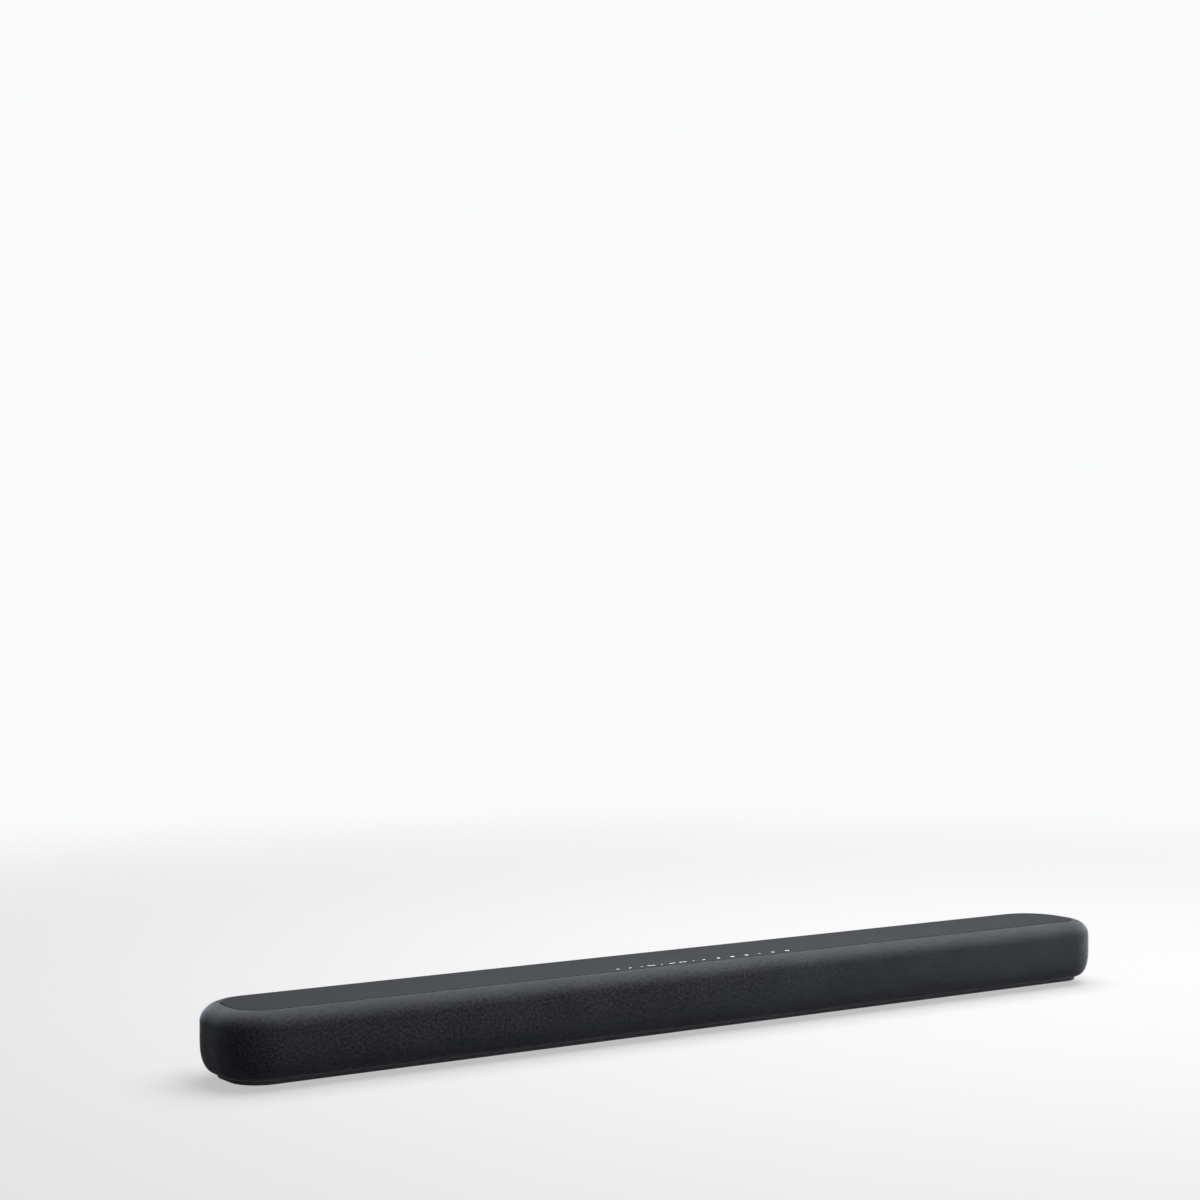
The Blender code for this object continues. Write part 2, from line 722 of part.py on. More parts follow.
# ---- drivers ------------------------------------------------------------------------------
def woofer_heights():
    """Heights in a woofer's own frame, 0 on the baffle's face and + towards the listener."""
    magnet_back = -WOOFER_DEPTH
    magnet_front = magnet_back + WOOFER_MAGNET_LENGTH
    seat = FIT + FLANGE_THICK + FIT
    return magnet_back, magnet_front, seat


def build_woofer(side, x):
    """Basket, magnet, cone with its voice coil, and the rubber surround between cone and basket."""
    magnet_back, magnet_front, seat = woofer_heights()
    basket_foot = magnet_front + FIT
    neck = WOOFER_MAGNET_R
    throat = WOOFER_HOLE_R * FLAT_SHARE - FIT
    inner_flange = SURROUND_OUTER_R - BASKET_WALL
    front = FIT + FLANGE_THICK
    ledge = CONE_NECK_R + 2 * COIL_WALL
    basket = [
        (inner_flange, front),
        (WOOFER_FLANGE_R, front),
        (WOOFER_FLANGE_R, FIT),
        (throat, FIT),
        (throat, -BASKET_WALL),
        (neck, basket_foot),
        (ledge, basket_foot),
        (ledge, basket_foot + BASKET_WALL),
        (neck - BASKET_WALL / 2, basket_foot + BASKET_WALL),
        (throat - BASKET_WALL, -BASKET_WALL),
        (inner_flange, -BASKET_WALL),
    ]
    made = turned("woofer_basket_" + side, basket, ((0.05, 0.05, 0.055), 0.4, 0.6), True)
    face_front(made, x, BAFFLE_Y, DRIVER_Z)

    groove_in = CONE_NECK_R - COIL_WALL - COIL_CLEARANCE
    groove_out = CONE_NECK_R + COIL_CLEARANCE
    groove_foot = magnet_back + BASKET_WALL
    magnet = [
        (0.0, magnet_front),
        (groove_in, magnet_front),
        (groove_in, groove_foot),
        (groove_out, groove_foot),
        (groove_out, magnet_front),
        (WOOFER_MAGNET_R, magnet_front),
        (WOOFER_MAGNET_R, magnet_back),
        (0.0, magnet_back),
    ]
    made = turned("woofer_magnet_" + side, magnet, ((0.12, 0.12, 0.13), 0.45, 0.7), False)
    face_front(made, x, BAFFLE_Y, DRIVER_Z)

    edge = seat
    neck_z = edge - CONE_DEPTH
    coil_inner = CONE_NECK_R - COIL_WALL
    cap_foot = neck_z + CONE_WALL
    cap_under = neck_z - CONE_WALL
    shoulder_r = coil_inner * CAP_SHOULDER[0]
    shoulder_rise = DUST_CAP_RISE * CAP_SHOULDER[1]
    cone = [
        (0.0, cap_foot + DUST_CAP_RISE),
        (shoulder_r, cap_foot + shoulder_rise),
        (coil_inner, cap_foot),
        (CONE_R, edge),
        (CONE_R, edge - CONE_WALL),
        (CONE_NECK_R, cap_under),
        (CONE_NECK_R, neck_z - COIL_LENGTH),
        (coil_inner, neck_z - COIL_LENGTH),
        (coil_inner, cap_under),
        (shoulder_r, cap_under + shoulder_rise),
        (0.0, cap_under + DUST_CAP_RISE),
    ]
    made = turned("woofer_cone_" + side, cone, ((0.06, 0.06, 0.062), 0.8), False)
    face_front(made, x, BAFFLE_Y, DRIVER_Z)

    roll_in = CONE_R + FIT
    middle = (roll_in + SURROUND_OUTER_R) / 2
    radius = (SURROUND_OUTER_R - roll_in) / 2
    thin = radius - CONE_WALL
    outer_arc = []
    inner_arc = []
    for i in range(ROLL_STEPS + 1):
        angle = math.pi * i / ROLL_STEPS
        over = SURROUND_ROLL * math.sin(angle) + CONE_WALL
        under = (SURROUND_ROLL - CONE_WALL) * math.sin(angle)
        outer_arc.append((middle - radius * math.cos(angle), seat + over))
        inner_arc.append((middle - thin * math.cos(angle), seat + under))
    outer_arc[0] = (roll_in, seat)
    outer_arc[-1] = (SURROUND_OUTER_R, seat)
    made = turned("woofer_surround_" + side, outer_arc + inner_arc[::-1], ((0.02, 0.02, 0.02), 0.7), True)
    face_front(made, x, BAFFLE_Y, DRIVER_Z)


def build_tweeter(side, x):
    """Face plate with a short horn, magnet, and the dome with its voice coil."""
    front = FIT + FLANGE_THICK
    magnet_back = -TWEETER_DEPTH
    plate_back = -DOME_SETBACK - DOME_COIL
    horn = DOME_R + DOME_CLEARANCE
    throat = TWEETER_HOLE_R * FLAT_SHARE - FIT
    face = [
        (throat - FLANGE_THICK, front),
        (TWEETER_FLANGE_R, front),
        (TWEETER_FLANGE_R, FIT),
        (throat, FIT),
        (throat, plate_back),
        (horn, plate_back),
        (horn, -DOME_SETBACK),
    ]
    made = turned("tweeter_face_" + side, face, ((0.04, 0.04, 0.042), 0.5), True)
    face_front(made, x, BAFFLE_Y, DRIVER_Z)

    magnet_front = plate_back - FIT
    coil_in = DOME_R - COIL_WALL - DOME_CLEARANCE
    coil_out = DOME_R + DOME_CLEARANCE
    groove_foot = magnet_back + 2 * BASKET_WALL
    magnet = [
        (0.0, magnet_front),
        (coil_in, magnet_front),
        (coil_in, groove_foot),
        (coil_out, groove_foot),
        (coil_out, magnet_front),
        (TWEETER_MAGNET_R, magnet_front),
        (TWEETER_MAGNET_R, magnet_back),
        (0.0, magnet_back),
    ]
    made = turned("tweeter_magnet_" + side, magnet, ((0.12, 0.12, 0.13), 0.45, 0.7), False)
    face_front(made, x, BAFFLE_Y, DRIVER_Z)

    base = -DOME_SETBACK
    coil_foot = magnet_front - DOME_COIL
    inner = DOME_R - COIL_WALL
    dome = []
    under = []
    for i in range(DOME_STEPS + 1):
        angle = math.pi / 2 * i / DOME_STEPS
        rise = base + DOME_RISE * math.cos(angle)
        dome.append((DOME_R * math.sin(angle), rise))
        under.append((inner * math.sin(angle), rise - DOME_WALL))
    dome += [(DOME_R, coil_foot), (inner, coil_foot)] + under[::-1]
    made = turned("tweeter_dome_" + side, dome, ((0.30, 0.30, 0.31), 0.5), False)
    face_front(made, x, BAFFLE_Y, DRIVER_Z)


# ---- electronics --------------------------------------------------------------------------
def build_board(name, x, length, chips):
    """A board on its posts, with its flat chips moulded on as (offset, y, width, depth, tall)."""
    low = (x - length / 2, BOARD_FRONT_Y, BOARD_LOW)
    high = (x + length / 2, BOARD_BACK_Y, BOARD_TOP)
    board = part(name, boxes(name, [(low, high)]), ((0.02, 0.09, 0.05), 0.5))
    blocks = []
    for offset, y, width, depth, tall in chips:
        middle = x + offset
        low = (middle - width / 2, y - depth / 2, BOARD_TOP - BOARD_THICK / 2)
        high = (middle + width / 2, y + depth / 2, BOARD_TOP + tall)
        blocks.append((low, high))
    add(board, boxes("chips", blocks))


def build_heat_sink():
    """A row of upright fins on a base plate, drawn in one extrusion."""
    base = BOARD_TOP + FIT
    right = SINK_LEFT + (FIN_COUNT - 1) * FIN_PITCH + FIN_WALL
    outline = [(SINK_LEFT, base), (right, base)]
    for i in range(FIN_COUNT - 1, -1, -1):
        near = SINK_LEFT + i * FIN_PITCH
        outline += [(near + FIN_WALL, base + SINK_TALL), (near, base + SINK_TALL)]
        if i:
            outline += [(near, base + SINK_BASE), (near - FIN_PITCH + FIN_WALL, base + SINK_BASE)]
    front = BOARD_FRONT_Y + SINK_SETBACK
    mesh = prism("heat_sink", outline, front, front + SINK_LENGTH)
    part("heat_sink", mesh, ((0.55, 0.55, 0.56), 0.35, 1.0))


def build_power_parts():
    """The wound transformer beside the inlet, and the capacitor lying on the board."""
    base = BOARD_TOP + FIT
    left = POWER_BOARD_X + INLET_WIDTH / 2 + CORE_GAP
    right = left + CORE_WIDTH
    core = ((left, 0.0, base), (right, CORE_DEPTH, base + CORE_TALL))
    transformer = part("transformer", boxes("transformer", [core]), ((0.08, 0.07, 0.06), 0.5))
    low = (left + WINDING_INSET, -WINDING_PROUD, base + WINDING_CLEAR)
    high = (right - WINDING_INSET, CORE_DEPTH + WINDING_PROUD, base + CORE_TALL - WINDING_CLEAR)
    add(transformer, boxes("winding", [(low, high)]))
    bevel(transformer, EDGE_ROUND)
    neck = CAN_LENGTH * CAN_NECK
    can = [
        (0.0, CAN_LENGTH),
        (CAN_R, CAN_LENGTH),
        (CAN_R, neck),
        (CAN_R - CAN_GROOVE, neck - CAN_GROOVE_HALF),
        (CAN_R, neck - 2 * CAN_GROOVE_HALF),
        (CAN_R, 0.0),
        (0.0, 0.0),
    ]
    made = turned("filter_capacitor", can, ((0.02, 0.03, 0.08), 0.3), False)
    made.location = (CAN_X, 0.0, base + CAN_R)
    made.rotation_euler = (math.radians(-90), 0, 0)


def build_wireless_module():
    """A small shielded board of its own, on the floor beside the main board."""
    left = MAIN_BOARD_LENGTH / 2 + MODULE_GAP
    right = left + MODULE_LENGTH
    top = CABINET_LOW + BOARD_THICK
    plate_box = ((left, MODULE_Y, CABINET_LOW), (right, MODULE_Y + MODULE_WIDTH, top))
    wireless = part("wireless_module", boxes("wireless_module", [plate_box]), ((0.02, 0.07, 0.10), 0.5))
    low = (left + SHIELD_INSET[0], MODULE_Y + SHIELD_MARGIN, top - BOARD_THICK / 2)
    high = (right - SHIELD_INSET[1], MODULE_Y + MODULE_WIDTH - SHIELD_MARGIN, CABINET_LOW + SHIELD_TALL)
    add(wireless, boxes("shield", [(low, high)]))


def socket_shell(name, x, width, tall, chamfer):
    """A pressed socket shell, closed at the back, with a contact tongue in it."""
    low = SOCKET_LOW
    half = width / 2
    back = SOCKET_FACE_Y - SOCKET_DEPTH

    def outline(inner):
        left = x - half + inner
        right = x + half - inner
        floor = low + inner
        roof = low + tall - inner
        return [
            (left + chamfer, floor),
            (right - chamfer, floor),
            (right, floor + chamfer),
            (right, roof),
            (left, roof),
            (left, floor + chamfer),
        ]

    shell = part(name, prism(name, outline(0.0), back, SOCKET_FACE_Y), ((0.60, 0.60, 0.62), 0.3, 1.0))
    cut(shell, prism("mouth", outline(SOCKET_WALL), back + 2 * SOCKET_WALL, SOCKET_FACE_Y + FIT))
    middle = low + tall / 2
    reach = half - 4 * SOCKET_WALL
    tongue_low = (x - reach, back + SOCKET_WALL, middle - TONGUE_THICK / 2)
    tongue_high = (x + reach, SOCKET_FACE_Y - 3 * SOCKET_WALL, middle + TONGUE_THICK / 2)
    add(shell, boxes("tongue", [(tongue_low, tongue_high)]))


def optical_places():
    """The optical port's low edge, the shutter's front and the height of its hinge."""
    port_low = SOCKET_LOW + (OPTICAL_TALL - OPTICAL_PORT) / 2
    shutter_front = SOCKET_FACE_Y - SHUTTER_SETBACK
    hinge_z = port_low + OPTICAL_PORT - FIT - SHUTTER_KNUCKLE_R
    return port_low, shutter_front, hinge_z


def build_optical():
    """The optical socket's block and the spring shutter hinged in its port."""
    port_low, shutter_front, hinge_z = optical_places()
    half = OPTICAL_WIDTH / 2
    low = (OPTICAL_X - half, SOCKET_FACE_Y - OPTICAL_DEPTH, SOCKET_LOW)
    high = (OPTICAL_X + half, SOCKET_FACE_Y, SOCKET_LOW + OPTICAL_TALL)
    optical = part("optical_socket", boxes("optical_socket", [(low, high)]), ((0.02, 0.02, 0.02), 0.5))
    port_half = OPTICAL_PORT / 2
    low = (OPTICAL_X - port_half, SOCKET_FACE_Y - OPTICAL_PORT_DEPTH, port_low)
    high = (OPTICAL_X + port_half, SOCKET_FACE_Y + FIT, port_low + OPTICAL_PORT)
    cut(optical, boxes("port", [(low, high)]))
    reach = port_half - FIT
    hinge_y = shutter_front - SHUTTER_KNUCKLE_R
    shape = bmesh.new()
    add_rod(shape, (-reach, 0, 0), (reach, 0, 0), SHUTTER_KNUCKLE_R, SCREW_SIDES)
    shutter = part("optical_shutter", from_bmesh("optical_shutter", shape), ((0.05, 0.05, 0.05), 0.4))
    shutter.location = (OPTICAL_X, hinge_y, hinge_z)
    low = (-reach, -SHUTTER_THICK / 2, port_low + FIT - hinge_z)
    high = (reach, SHUTTER_THICK / 2, -SHUTTER_KNUCKLE_R / 2)
    add(shutter, boxes("flap", [(low, high)]))
    bpy.data.objects["optical_shutter_flap"].location = shutter.location


def build_inlet():
    """The figure-8 mains inlet with its two pins."""
    half = INLET_WIDTH / 2
    middle = SOCKET_LOW + INLET_TALL / 2
    low = (POWER_BOARD_X - half, SOCKET_FACE_Y - INLET_DEPTH, SOCKET_LOW)
    high = (POWER_BOARD_X + half, SOCKET_FACE_Y, SOCKET_LOW + INLET_TALL)
    inlet = part("power_inlet", boxes("power_inlet", [(low, high)]), ((0.02, 0.02, 0.02), 0.4))
    root = SOCKET_FACE_Y - INLET_PORT_DEPTH
    port = stadium(POWER_BOARD_X, middle, INLET_PORT_WIDTH, INLET_PORT_TALL)
    cut(inlet, prism("port", port, root, SOCKET_FACE_Y + FIT))
    pins = []
    for x in (POWER_BOARD_X - INLET_PIN_PITCH / 2, POWER_BOARD_X + INLET_PIN_PITCH / 2):
        pins.append(((x, root - 2 * INLET_PIN_R, middle), (x, root + INLET_PIN_LENGTH, middle)))
    add(inlet, rods("pins", pins, INLET_PIN_R, PIN_SIDES))


def build_sockets():
    """HDMI-type, USB-type, optical and mains sockets."""
    for name, x in HDMI_XS.items():
        socket_shell(name, x, HDMI_WIDTH, HDMI_TALL, HDMI_CHAMFER)
    socket_shell("usb_socket", USB_X, USB_WIDTH, USB_TALL, USB_CHAMFER)
    build_optical()
    build_inlet()


def build_touch_board():
    """Touch board under the panel, and the light guide that carries its lamps up to the marks."""
    top = PANEL_UNDER - TOUCH_DROP
    low = (TOUCH_LEFT, TOUCH_FRONT, top - BOARD_THICK)
    high = (TOUCH_RIGHT, TOUCH_FRONT + TOUCH_DEPTH, top)
    part("touch_board", boxes("touch_board", [(low, high)]), ((0.02, 0.09, 0.05), 0.5))
    front = TOUCH_FRONT + GUIDE_SETBACK
    low = (TOUCH_LEFT + POST_R, front, top + FIT)
    high = (GUIDE_RIGHT, front + GUIDE_WIDTH, PANEL_UNDER - FIT)
    guide = part("light_guide", boxes("light_guide", [(low, high)]), ((0.85, 0.87, 0.90), 0.2))
    bevel(guide, EDGE_ROUND)


# ---- leads --------------------------------------------------------------------------------
def smooth_route(points, steps):
    """Catmull-Rom points through a route, a few steps for each stretch."""
    knots = [Vector(p) for p in points]
    knots = [2 * knots[0] - knots[1]] + knots + [2 * knots[-1] - knots[-2]]
    route = []
    for a, b, c, d in zip(knots, knots[1:], knots[2:], knots[3:]):
        for i in range(steps):
            t = i / steps
            square = (2 * a - 5 * b + 4 * c - d) * t * t
            cube = (3 * b - a - 3 * c + d) * t ** 3
            along = 2 * b + (c - a) * t + square + cube
            route.append(tuple(along / 2))
    route.append(tuple(knots[-2]))
    return route


def ribbon_outline(route):
    """The outline of a flat ribbon seen on edge, half its thickness each side of its (y, z) route."""
    near = []
    far = []
    for i, point in enumerate(route):
        along = Vector(route[min(i + 1, len(route) - 1)]) - Vector(route[max(i - 1, 0)])
        across = Vector((along.y, -along.x)).normalized() * RIBBON_THICK / 2
        near.append(tuple(Vector(point) + across))
        far.append(tuple(Vector(point) - across))
    return near + far[::-1]


def build_harness(side, sign):
    """From the main board's edge, along behind the baffle, to the back of the outer woofer."""
    magnet_back_y = BAFFLE_Y + WOOFER_DEPTH + FIT
    lane_y = magnet_back_y + 3 * LEAD_R
    low_z = FLOOR_TOP + 4 * LEAD_R
    start_y = BOARD_FRONT_Y - 2 * FIT
    board_z = BOARD_TOP - BOARD_THICK / 2
    inner_x = sign * MAIN_BOARD_LENGTH * 0.4
    outer_x = WOOFER_XS["outer_" + side]
    lane_in = inner_x + sign * 0.050
    lane_out = outer_x - sign * 0.024
    route = [
        (inner_x, start_y, board_z),
        (inner_x, start_y - 0.003, board_z),
        (inner_x + sign * 0.010, lane_y, board_z - 0.003),
        (lane_in, lane_y, low_z),
        (lane_in + (lane_out - lane_in) * 0.38, lane_y, low_z),
        (lane_in + (lane_out - lane_in) * 0.80, lane_y, low_z),
        (lane_out, lane_y, low_z + 0.006),
        (outer_x - sign * 0.006, lane_y + 0.002, DRIVER_Z - 0.006),
        (outer_x, magnet_back_y + 0.003, DRIVER_Z),
        (outer_x, magnet_back_y, DRIVER_Z),
    ]
    name = "speaker_harness_" + side
    part(name, tube(name, smooth_route(route, ROUTE_STEPS), LEAD_R), ((0.03, 0.03, 0.03), 0.6))


def build_power_lead():
    """A short sagging lead from the power board's edge to the main board's."""
    left = POWER_BOARD_X + POWER_BOARD_LENGTH / 2 + FIT
    right = -MAIN_BOARD_LENGTH / 2 - FIT
    reach = (right - left) * 0.21
    board_z = BOARD_TOP - BOARD_THICK / 2
    route = [
        (left, POWER_LEAD_Y, board_z),
        (left + reach, POWER_LEAD_Y, board_z - 0.002),
        ((left + right) / 2, POWER_LEAD_Y, board_z - 0.006),
        (right - reach, POWER_LEAD_Y, board_z - 0.002),
        (right, POWER_LEAD_Y, board_z),
    ]
    mesh = tube("power_lead", smooth_route(route, ROUTE_STEPS), LEAD_R)
    part("power_lead", mesh, ((0.03, 0.03, 0.03), 0.6))


def build_touch_ribbon():
    """A flat ribbon from the touch board's rear edge down to the main board's front edge."""
    board_under = PANEL_UNDER - TOUCH_DROP - BOARD_THICK
    plug_y = TOUCH_FRONT + TOUCH_DEPTH - 0.002
    board_z = BOARD_TOP - BOARD_THICK / 2
    fall = board_under - BOARD_TOP
    route = [
        (plug_y, board_under - FIT),
        (plug_y, board_under - fall * 0.18),
        (BOARD_FRONT_Y - 0.006, board_under - fall * 0.54),
        (BOARD_FRONT_Y - 0.0035, BOARD_TOP + fall * 0.18),
        (BOARD_FRONT_Y - 0.0010, board_z),
    ]
    left = RIBBON_X - RIBBON_WIDTH / 2
    mesh = plate("touch_ribbon", ribbon_outline(route), left, left + RIBBON_WIDTH)
    mesh.transform(Matrix(((0, 0, 1, 0), (1, 0, 0, 0), (0, 1, 0, 0), (0, 0, 0, 1))))
    part("touch_ribbon", mesh, ((0.75, 0.75, 0.72), 0.5))


# ---- wall plates, feet and screws ---------------------------------------------------------
def build_wall_plates():
    """Steel plates with a keyhole, sunk flush in the spine."""
    half_x = WALL_PLATE_WIDTH / 2
    half_z = WALL_PLATE_TALL / 2
    back = SPINE_Y - WALL_PLATE_THICK
    eye_z = WALL_PLATE_Z - KEYHOLE_RUN / 2
    for side, x in (("left", -WALL_PLATE_X), ("right", WALL_PLATE_X)):
        low = (x - half_x, back, WALL_PLATE_Z - half_z)
        high = (x + half_x, SPINE_Y, WALL_PLATE_Z + half_z)
        made = part("wall_plate_" + side, boxes("steel", [(low, high)]), ((0.50, 0.50, 0.51), 0.35, 1.0))
        eye = arc((x, eye_z), KEYHOLE_R, 120, 420, 2 * KEYHOLE_STEPS)
        slot = arc((x, eye_z + KEYHOLE_RUN), KEYHOLE_SLOT / 2, 0, 180, KEYHOLE_STEPS)
        cut(made, prism("keyhole", eye + slot, back - FIT, SPINE_Y + FIT))


def build_feet():
    """Rubber pads pressed into pockets in the floor."""
    top = FOOT_DROP + FOOT_SINK - FIT
    for row, y in (("front", -FOOT_Y), ("rear", FOOT_Y)):
        for side, x in (("left", -FOOT_X), ("right", FOOT_X)):
            name = "foot_" + row + "_" + side
            mesh = plate(name, stadium(x, y, FOOT_LENGTH, FOOT_WIDTH), 0.0, top)
            foot = part(name, mesh, ((0.02, 0.02, 0.02), 0.8))
            bevel(foot, EDGE_ROUND)


def build_screws():
    """Pan-head screws up through the floor into the cabinet and the rear cover."""
    number = 0
    head = SCREW_HEAD_TALL - FIT
    tip = SCREW_LENGTH - FIT
    profile = [
        (0.0, tip),
        (SCREW_R * 0.4, tip),
        (SCREW_R, tip - SCREW_R),
        (SCREW_R, head),
        (SCREW_HEAD_R, head),
        (SCREW_HEAD_R, head * 0.4),
        (SCREW_HEAD_R * 0.7, 0.0),
        (0.0, 0.0),
    ]
    for xs, y in screw_rows():
        for x in xs:
            number += 1
            name = "base_screw_" + str(number)
            made = turned(name, profile, ((0.10, 0.10, 0.10), 0.4, 0.9), False, SCREW_SIDES)
            made.location = (x, y, FOOT_DROP + FIT)


build_grille()
build_cabinet()
build_bottom_cover()
build_rear_cover()
build_top_panel()
for driver_side, driver_x in WOOFER_XS.items():
    build_woofer(driver_side, driver_x)
for driver_side, driver_x in TWEETER_XS.items():
    build_tweeter(driver_side, driver_x)
build_board("main_board", 0.0, MAIN_BOARD_LENGTH, MAIN_CHIPS)
build_board("power_board", POWER_BOARD_X, POWER_BOARD_LENGTH, POWER_CHIPS)
build_heat_sink()
build_power_parts()
build_wireless_module()
build_sockets()
build_touch_board()
build_harness("left", -1)
build_harness("right", 1)
build_power_lead()
build_touch_ribbon()
build_wall_plates()
build_feet()
build_screws()
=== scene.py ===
"""The finished look of a soundbar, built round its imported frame.

Metres. +X runs along the bar, its front faces -Y, and z = 0 is the surface that its feet stand on.
"""
import math

import bmesh
import bpy
import numpy as np
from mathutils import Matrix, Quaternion, Vector


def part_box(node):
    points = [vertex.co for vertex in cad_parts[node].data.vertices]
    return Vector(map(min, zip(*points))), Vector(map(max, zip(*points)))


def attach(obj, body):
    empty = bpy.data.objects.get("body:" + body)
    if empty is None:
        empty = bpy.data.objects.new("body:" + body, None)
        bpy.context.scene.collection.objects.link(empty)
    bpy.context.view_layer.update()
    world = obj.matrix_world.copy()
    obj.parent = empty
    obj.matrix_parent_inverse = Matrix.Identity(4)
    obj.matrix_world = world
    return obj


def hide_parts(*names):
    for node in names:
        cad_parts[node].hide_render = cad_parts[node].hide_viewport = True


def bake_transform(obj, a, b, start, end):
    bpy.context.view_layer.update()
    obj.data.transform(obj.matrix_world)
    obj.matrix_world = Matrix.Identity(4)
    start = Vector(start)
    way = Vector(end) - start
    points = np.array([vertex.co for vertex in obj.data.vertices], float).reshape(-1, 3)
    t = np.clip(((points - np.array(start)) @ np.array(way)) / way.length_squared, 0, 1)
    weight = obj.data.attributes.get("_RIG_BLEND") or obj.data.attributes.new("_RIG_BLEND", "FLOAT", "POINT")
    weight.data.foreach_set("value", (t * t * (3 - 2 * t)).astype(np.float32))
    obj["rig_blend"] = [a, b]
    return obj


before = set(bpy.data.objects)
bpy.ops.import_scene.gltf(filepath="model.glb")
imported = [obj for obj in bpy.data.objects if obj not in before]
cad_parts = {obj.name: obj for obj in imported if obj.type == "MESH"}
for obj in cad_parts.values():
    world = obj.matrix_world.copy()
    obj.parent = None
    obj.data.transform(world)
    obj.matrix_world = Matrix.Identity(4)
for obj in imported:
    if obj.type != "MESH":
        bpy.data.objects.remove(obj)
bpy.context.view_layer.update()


# ---- camera -------------------------------------------------------------------------------
# Stands off the left front corner, a little above the bar, and looks along it almost level. The lens
# is long, so the bar's two ends differ little in size.
CAMERA_PLACE = (-1.239, -1.710, 0.389)
CAMERA_HEADING = math.radians(33.82)
CAMERA_DIP = math.radians(0.306)
CAMERA_ROLL = -0.0021
CAMERA_LENS = 71.24

camera_data = bpy.data.cameras.new("camera")
camera_data.sensor_width = 36.0
camera_data.lens = CAMERA_LENS
camera_data.clip_start = 0.05
camera_data.clip_end = 100.0
camera = bpy.data.objects.new("camera", camera_data)
bpy.context.scene.collection.objects.link(camera)
look = Vector((
    math.sin(CAMERA_HEADING) * math.cos(CAMERA_DIP),
    math.cos(CAMERA_HEADING) * math.cos(CAMERA_DIP),
    -math.sin(CAMERA_DIP),
))
camera.rotation_mode = "QUATERNION"
camera.rotation_quaternion = look.to_track_quat("-Z", "Y") @ Quaternion((0.0, 0.0, 1.0), CAMERA_ROLL)
camera.location = CAMERA_PLACE
bpy.context.scene.camera = camera


# ---- grille cloth -------------------------------------------------------------------------
# One charcoal knit, stretched over the slotted moulding from the left rear seam round to the right one.
# Its edges are turned in: down into the panel's gap, in above the floor's rim, and into the rear seams.
CLOTH_THICKNESS = 0.0008
FRONT_RADIUS = 0.0390
REAR_RADIUS = 0.0477
LOWER_INSET = 0.0138
LOWER_RISE = 0.0276
LOWER_POWER = 2.5
UPPER_INSET = 0.0175
UPPER_DROP = 0.0142
CLOTH_EDGE_INSET = 0.0154
CLOTH_TUCK = 0.0022
EDGE_ROLL = 0.0005
SEAM_GAP = 0.0005
WALE = 0.00118
COURSE = 0.00098
CORNER_STEPS = 28
FRONT_STEPS = 150
SECTION_STEPS = 22
ROLL_POINTS = 5

cloth_low, cloth_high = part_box("grille_fabric")
BAR_HALF = cloth_high.x
FRONT_Y = cloth_low.y
REAR_Y = cloth_high.y
BAR_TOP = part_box("top_panel")[1].z
SEAM_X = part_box("rear_cover")[1].x + SEAM_GAP


def outline_spine(corner_steps, front_steps, seam_roll):
    """The bar's outline in plan as (spine, normal, radius, slip).

    A point of the outline is spine + normal * (radius - inset). On a quarter circle the spine stands
    still while the normal turns; on a straight run the normal stands still while the spine moves. The
    left half runs from the rear seam to the middle of the front, and the right half is its mirror
    image. slip is the extra inset of the turned-in seam edge.
    """
    turn = np.linspace(0.0, math.pi / 2, corner_steps + 1)
    deep = np.array([CLOTH_TUCK + seam_roll, seam_roll])
    roll = np.linspace(0.0, math.pi / 2, ROLL_POINTS)
    hem_x = np.concatenate([[0.0, 0.0], seam_roll * (1 - np.cos(roll[1:]))])
    slip = np.concatenate([deep, seam_roll * (1 - np.sin(roll[1:]))])
    rear_spine = (-(BAR_HALF - REAR_RADIUS), REAR_Y - REAR_RADIUS)
    front_spine = (-(BAR_HALF - FRONT_RADIUS), FRONT_Y + FRONT_RADIUS)
    down = np.linspace(0.0, 1.0, 7)[1:-1]
    along = np.linspace(0.0, 1.0, front_steps + 1)[1:]
    xs = np.concatenate([
        -SEAM_X - hem_x, np.full(turn.size, rear_spine[0]),
        rear_spine[0] + (front_spine[0] - rear_spine[0]) * down,
        np.full(turn.size, front_spine[0]), front_spine[0] * (1 - along),
    ])
    ys = np.concatenate([
        np.full(hem_x.size, rear_spine[1]), np.full(turn.size, rear_spine[1]),
        rear_spine[1] + (front_spine[1] - rear_spine[1]) * down,
        np.full(turn.size + along.size, front_spine[1]),
    ])
    radius = np.concatenate([
        np.full(hem_x.size + turn.size, REAR_RADIUS), REAR_RADIUS + (FRONT_RADIUS - REAR_RADIUS) * down,
        np.full(turn.size + along.size, FRONT_RADIUS),
    ])
    angle = np.concatenate([
        np.full(hem_x.size, math.pi / 2), math.pi / 2 + turn, np.full(down.size, math.pi),
        math.pi + turn, np.full(along.size, 1.5 * math.pi),
    ])
    slip = np.concatenate([slip, np.zeros(xs.size - slip.size)])
    spine = np.stack([xs, ys], 1)
    normal = np.stack([np.cos(angle), np.sin(angle)], 1)
    flip = np.array([-1.0, 1.0])
    spine = np.concatenate([spine, spine[-2::-1] * flip])
    normal = np.concatenate([normal, normal[-2::-1] * flip])
    radius = np.concatenate([radius, radius[-2::-1]])
    slip = np.concatenate([slip, slip[-2::-1]])
    return spine, normal, radius, slip


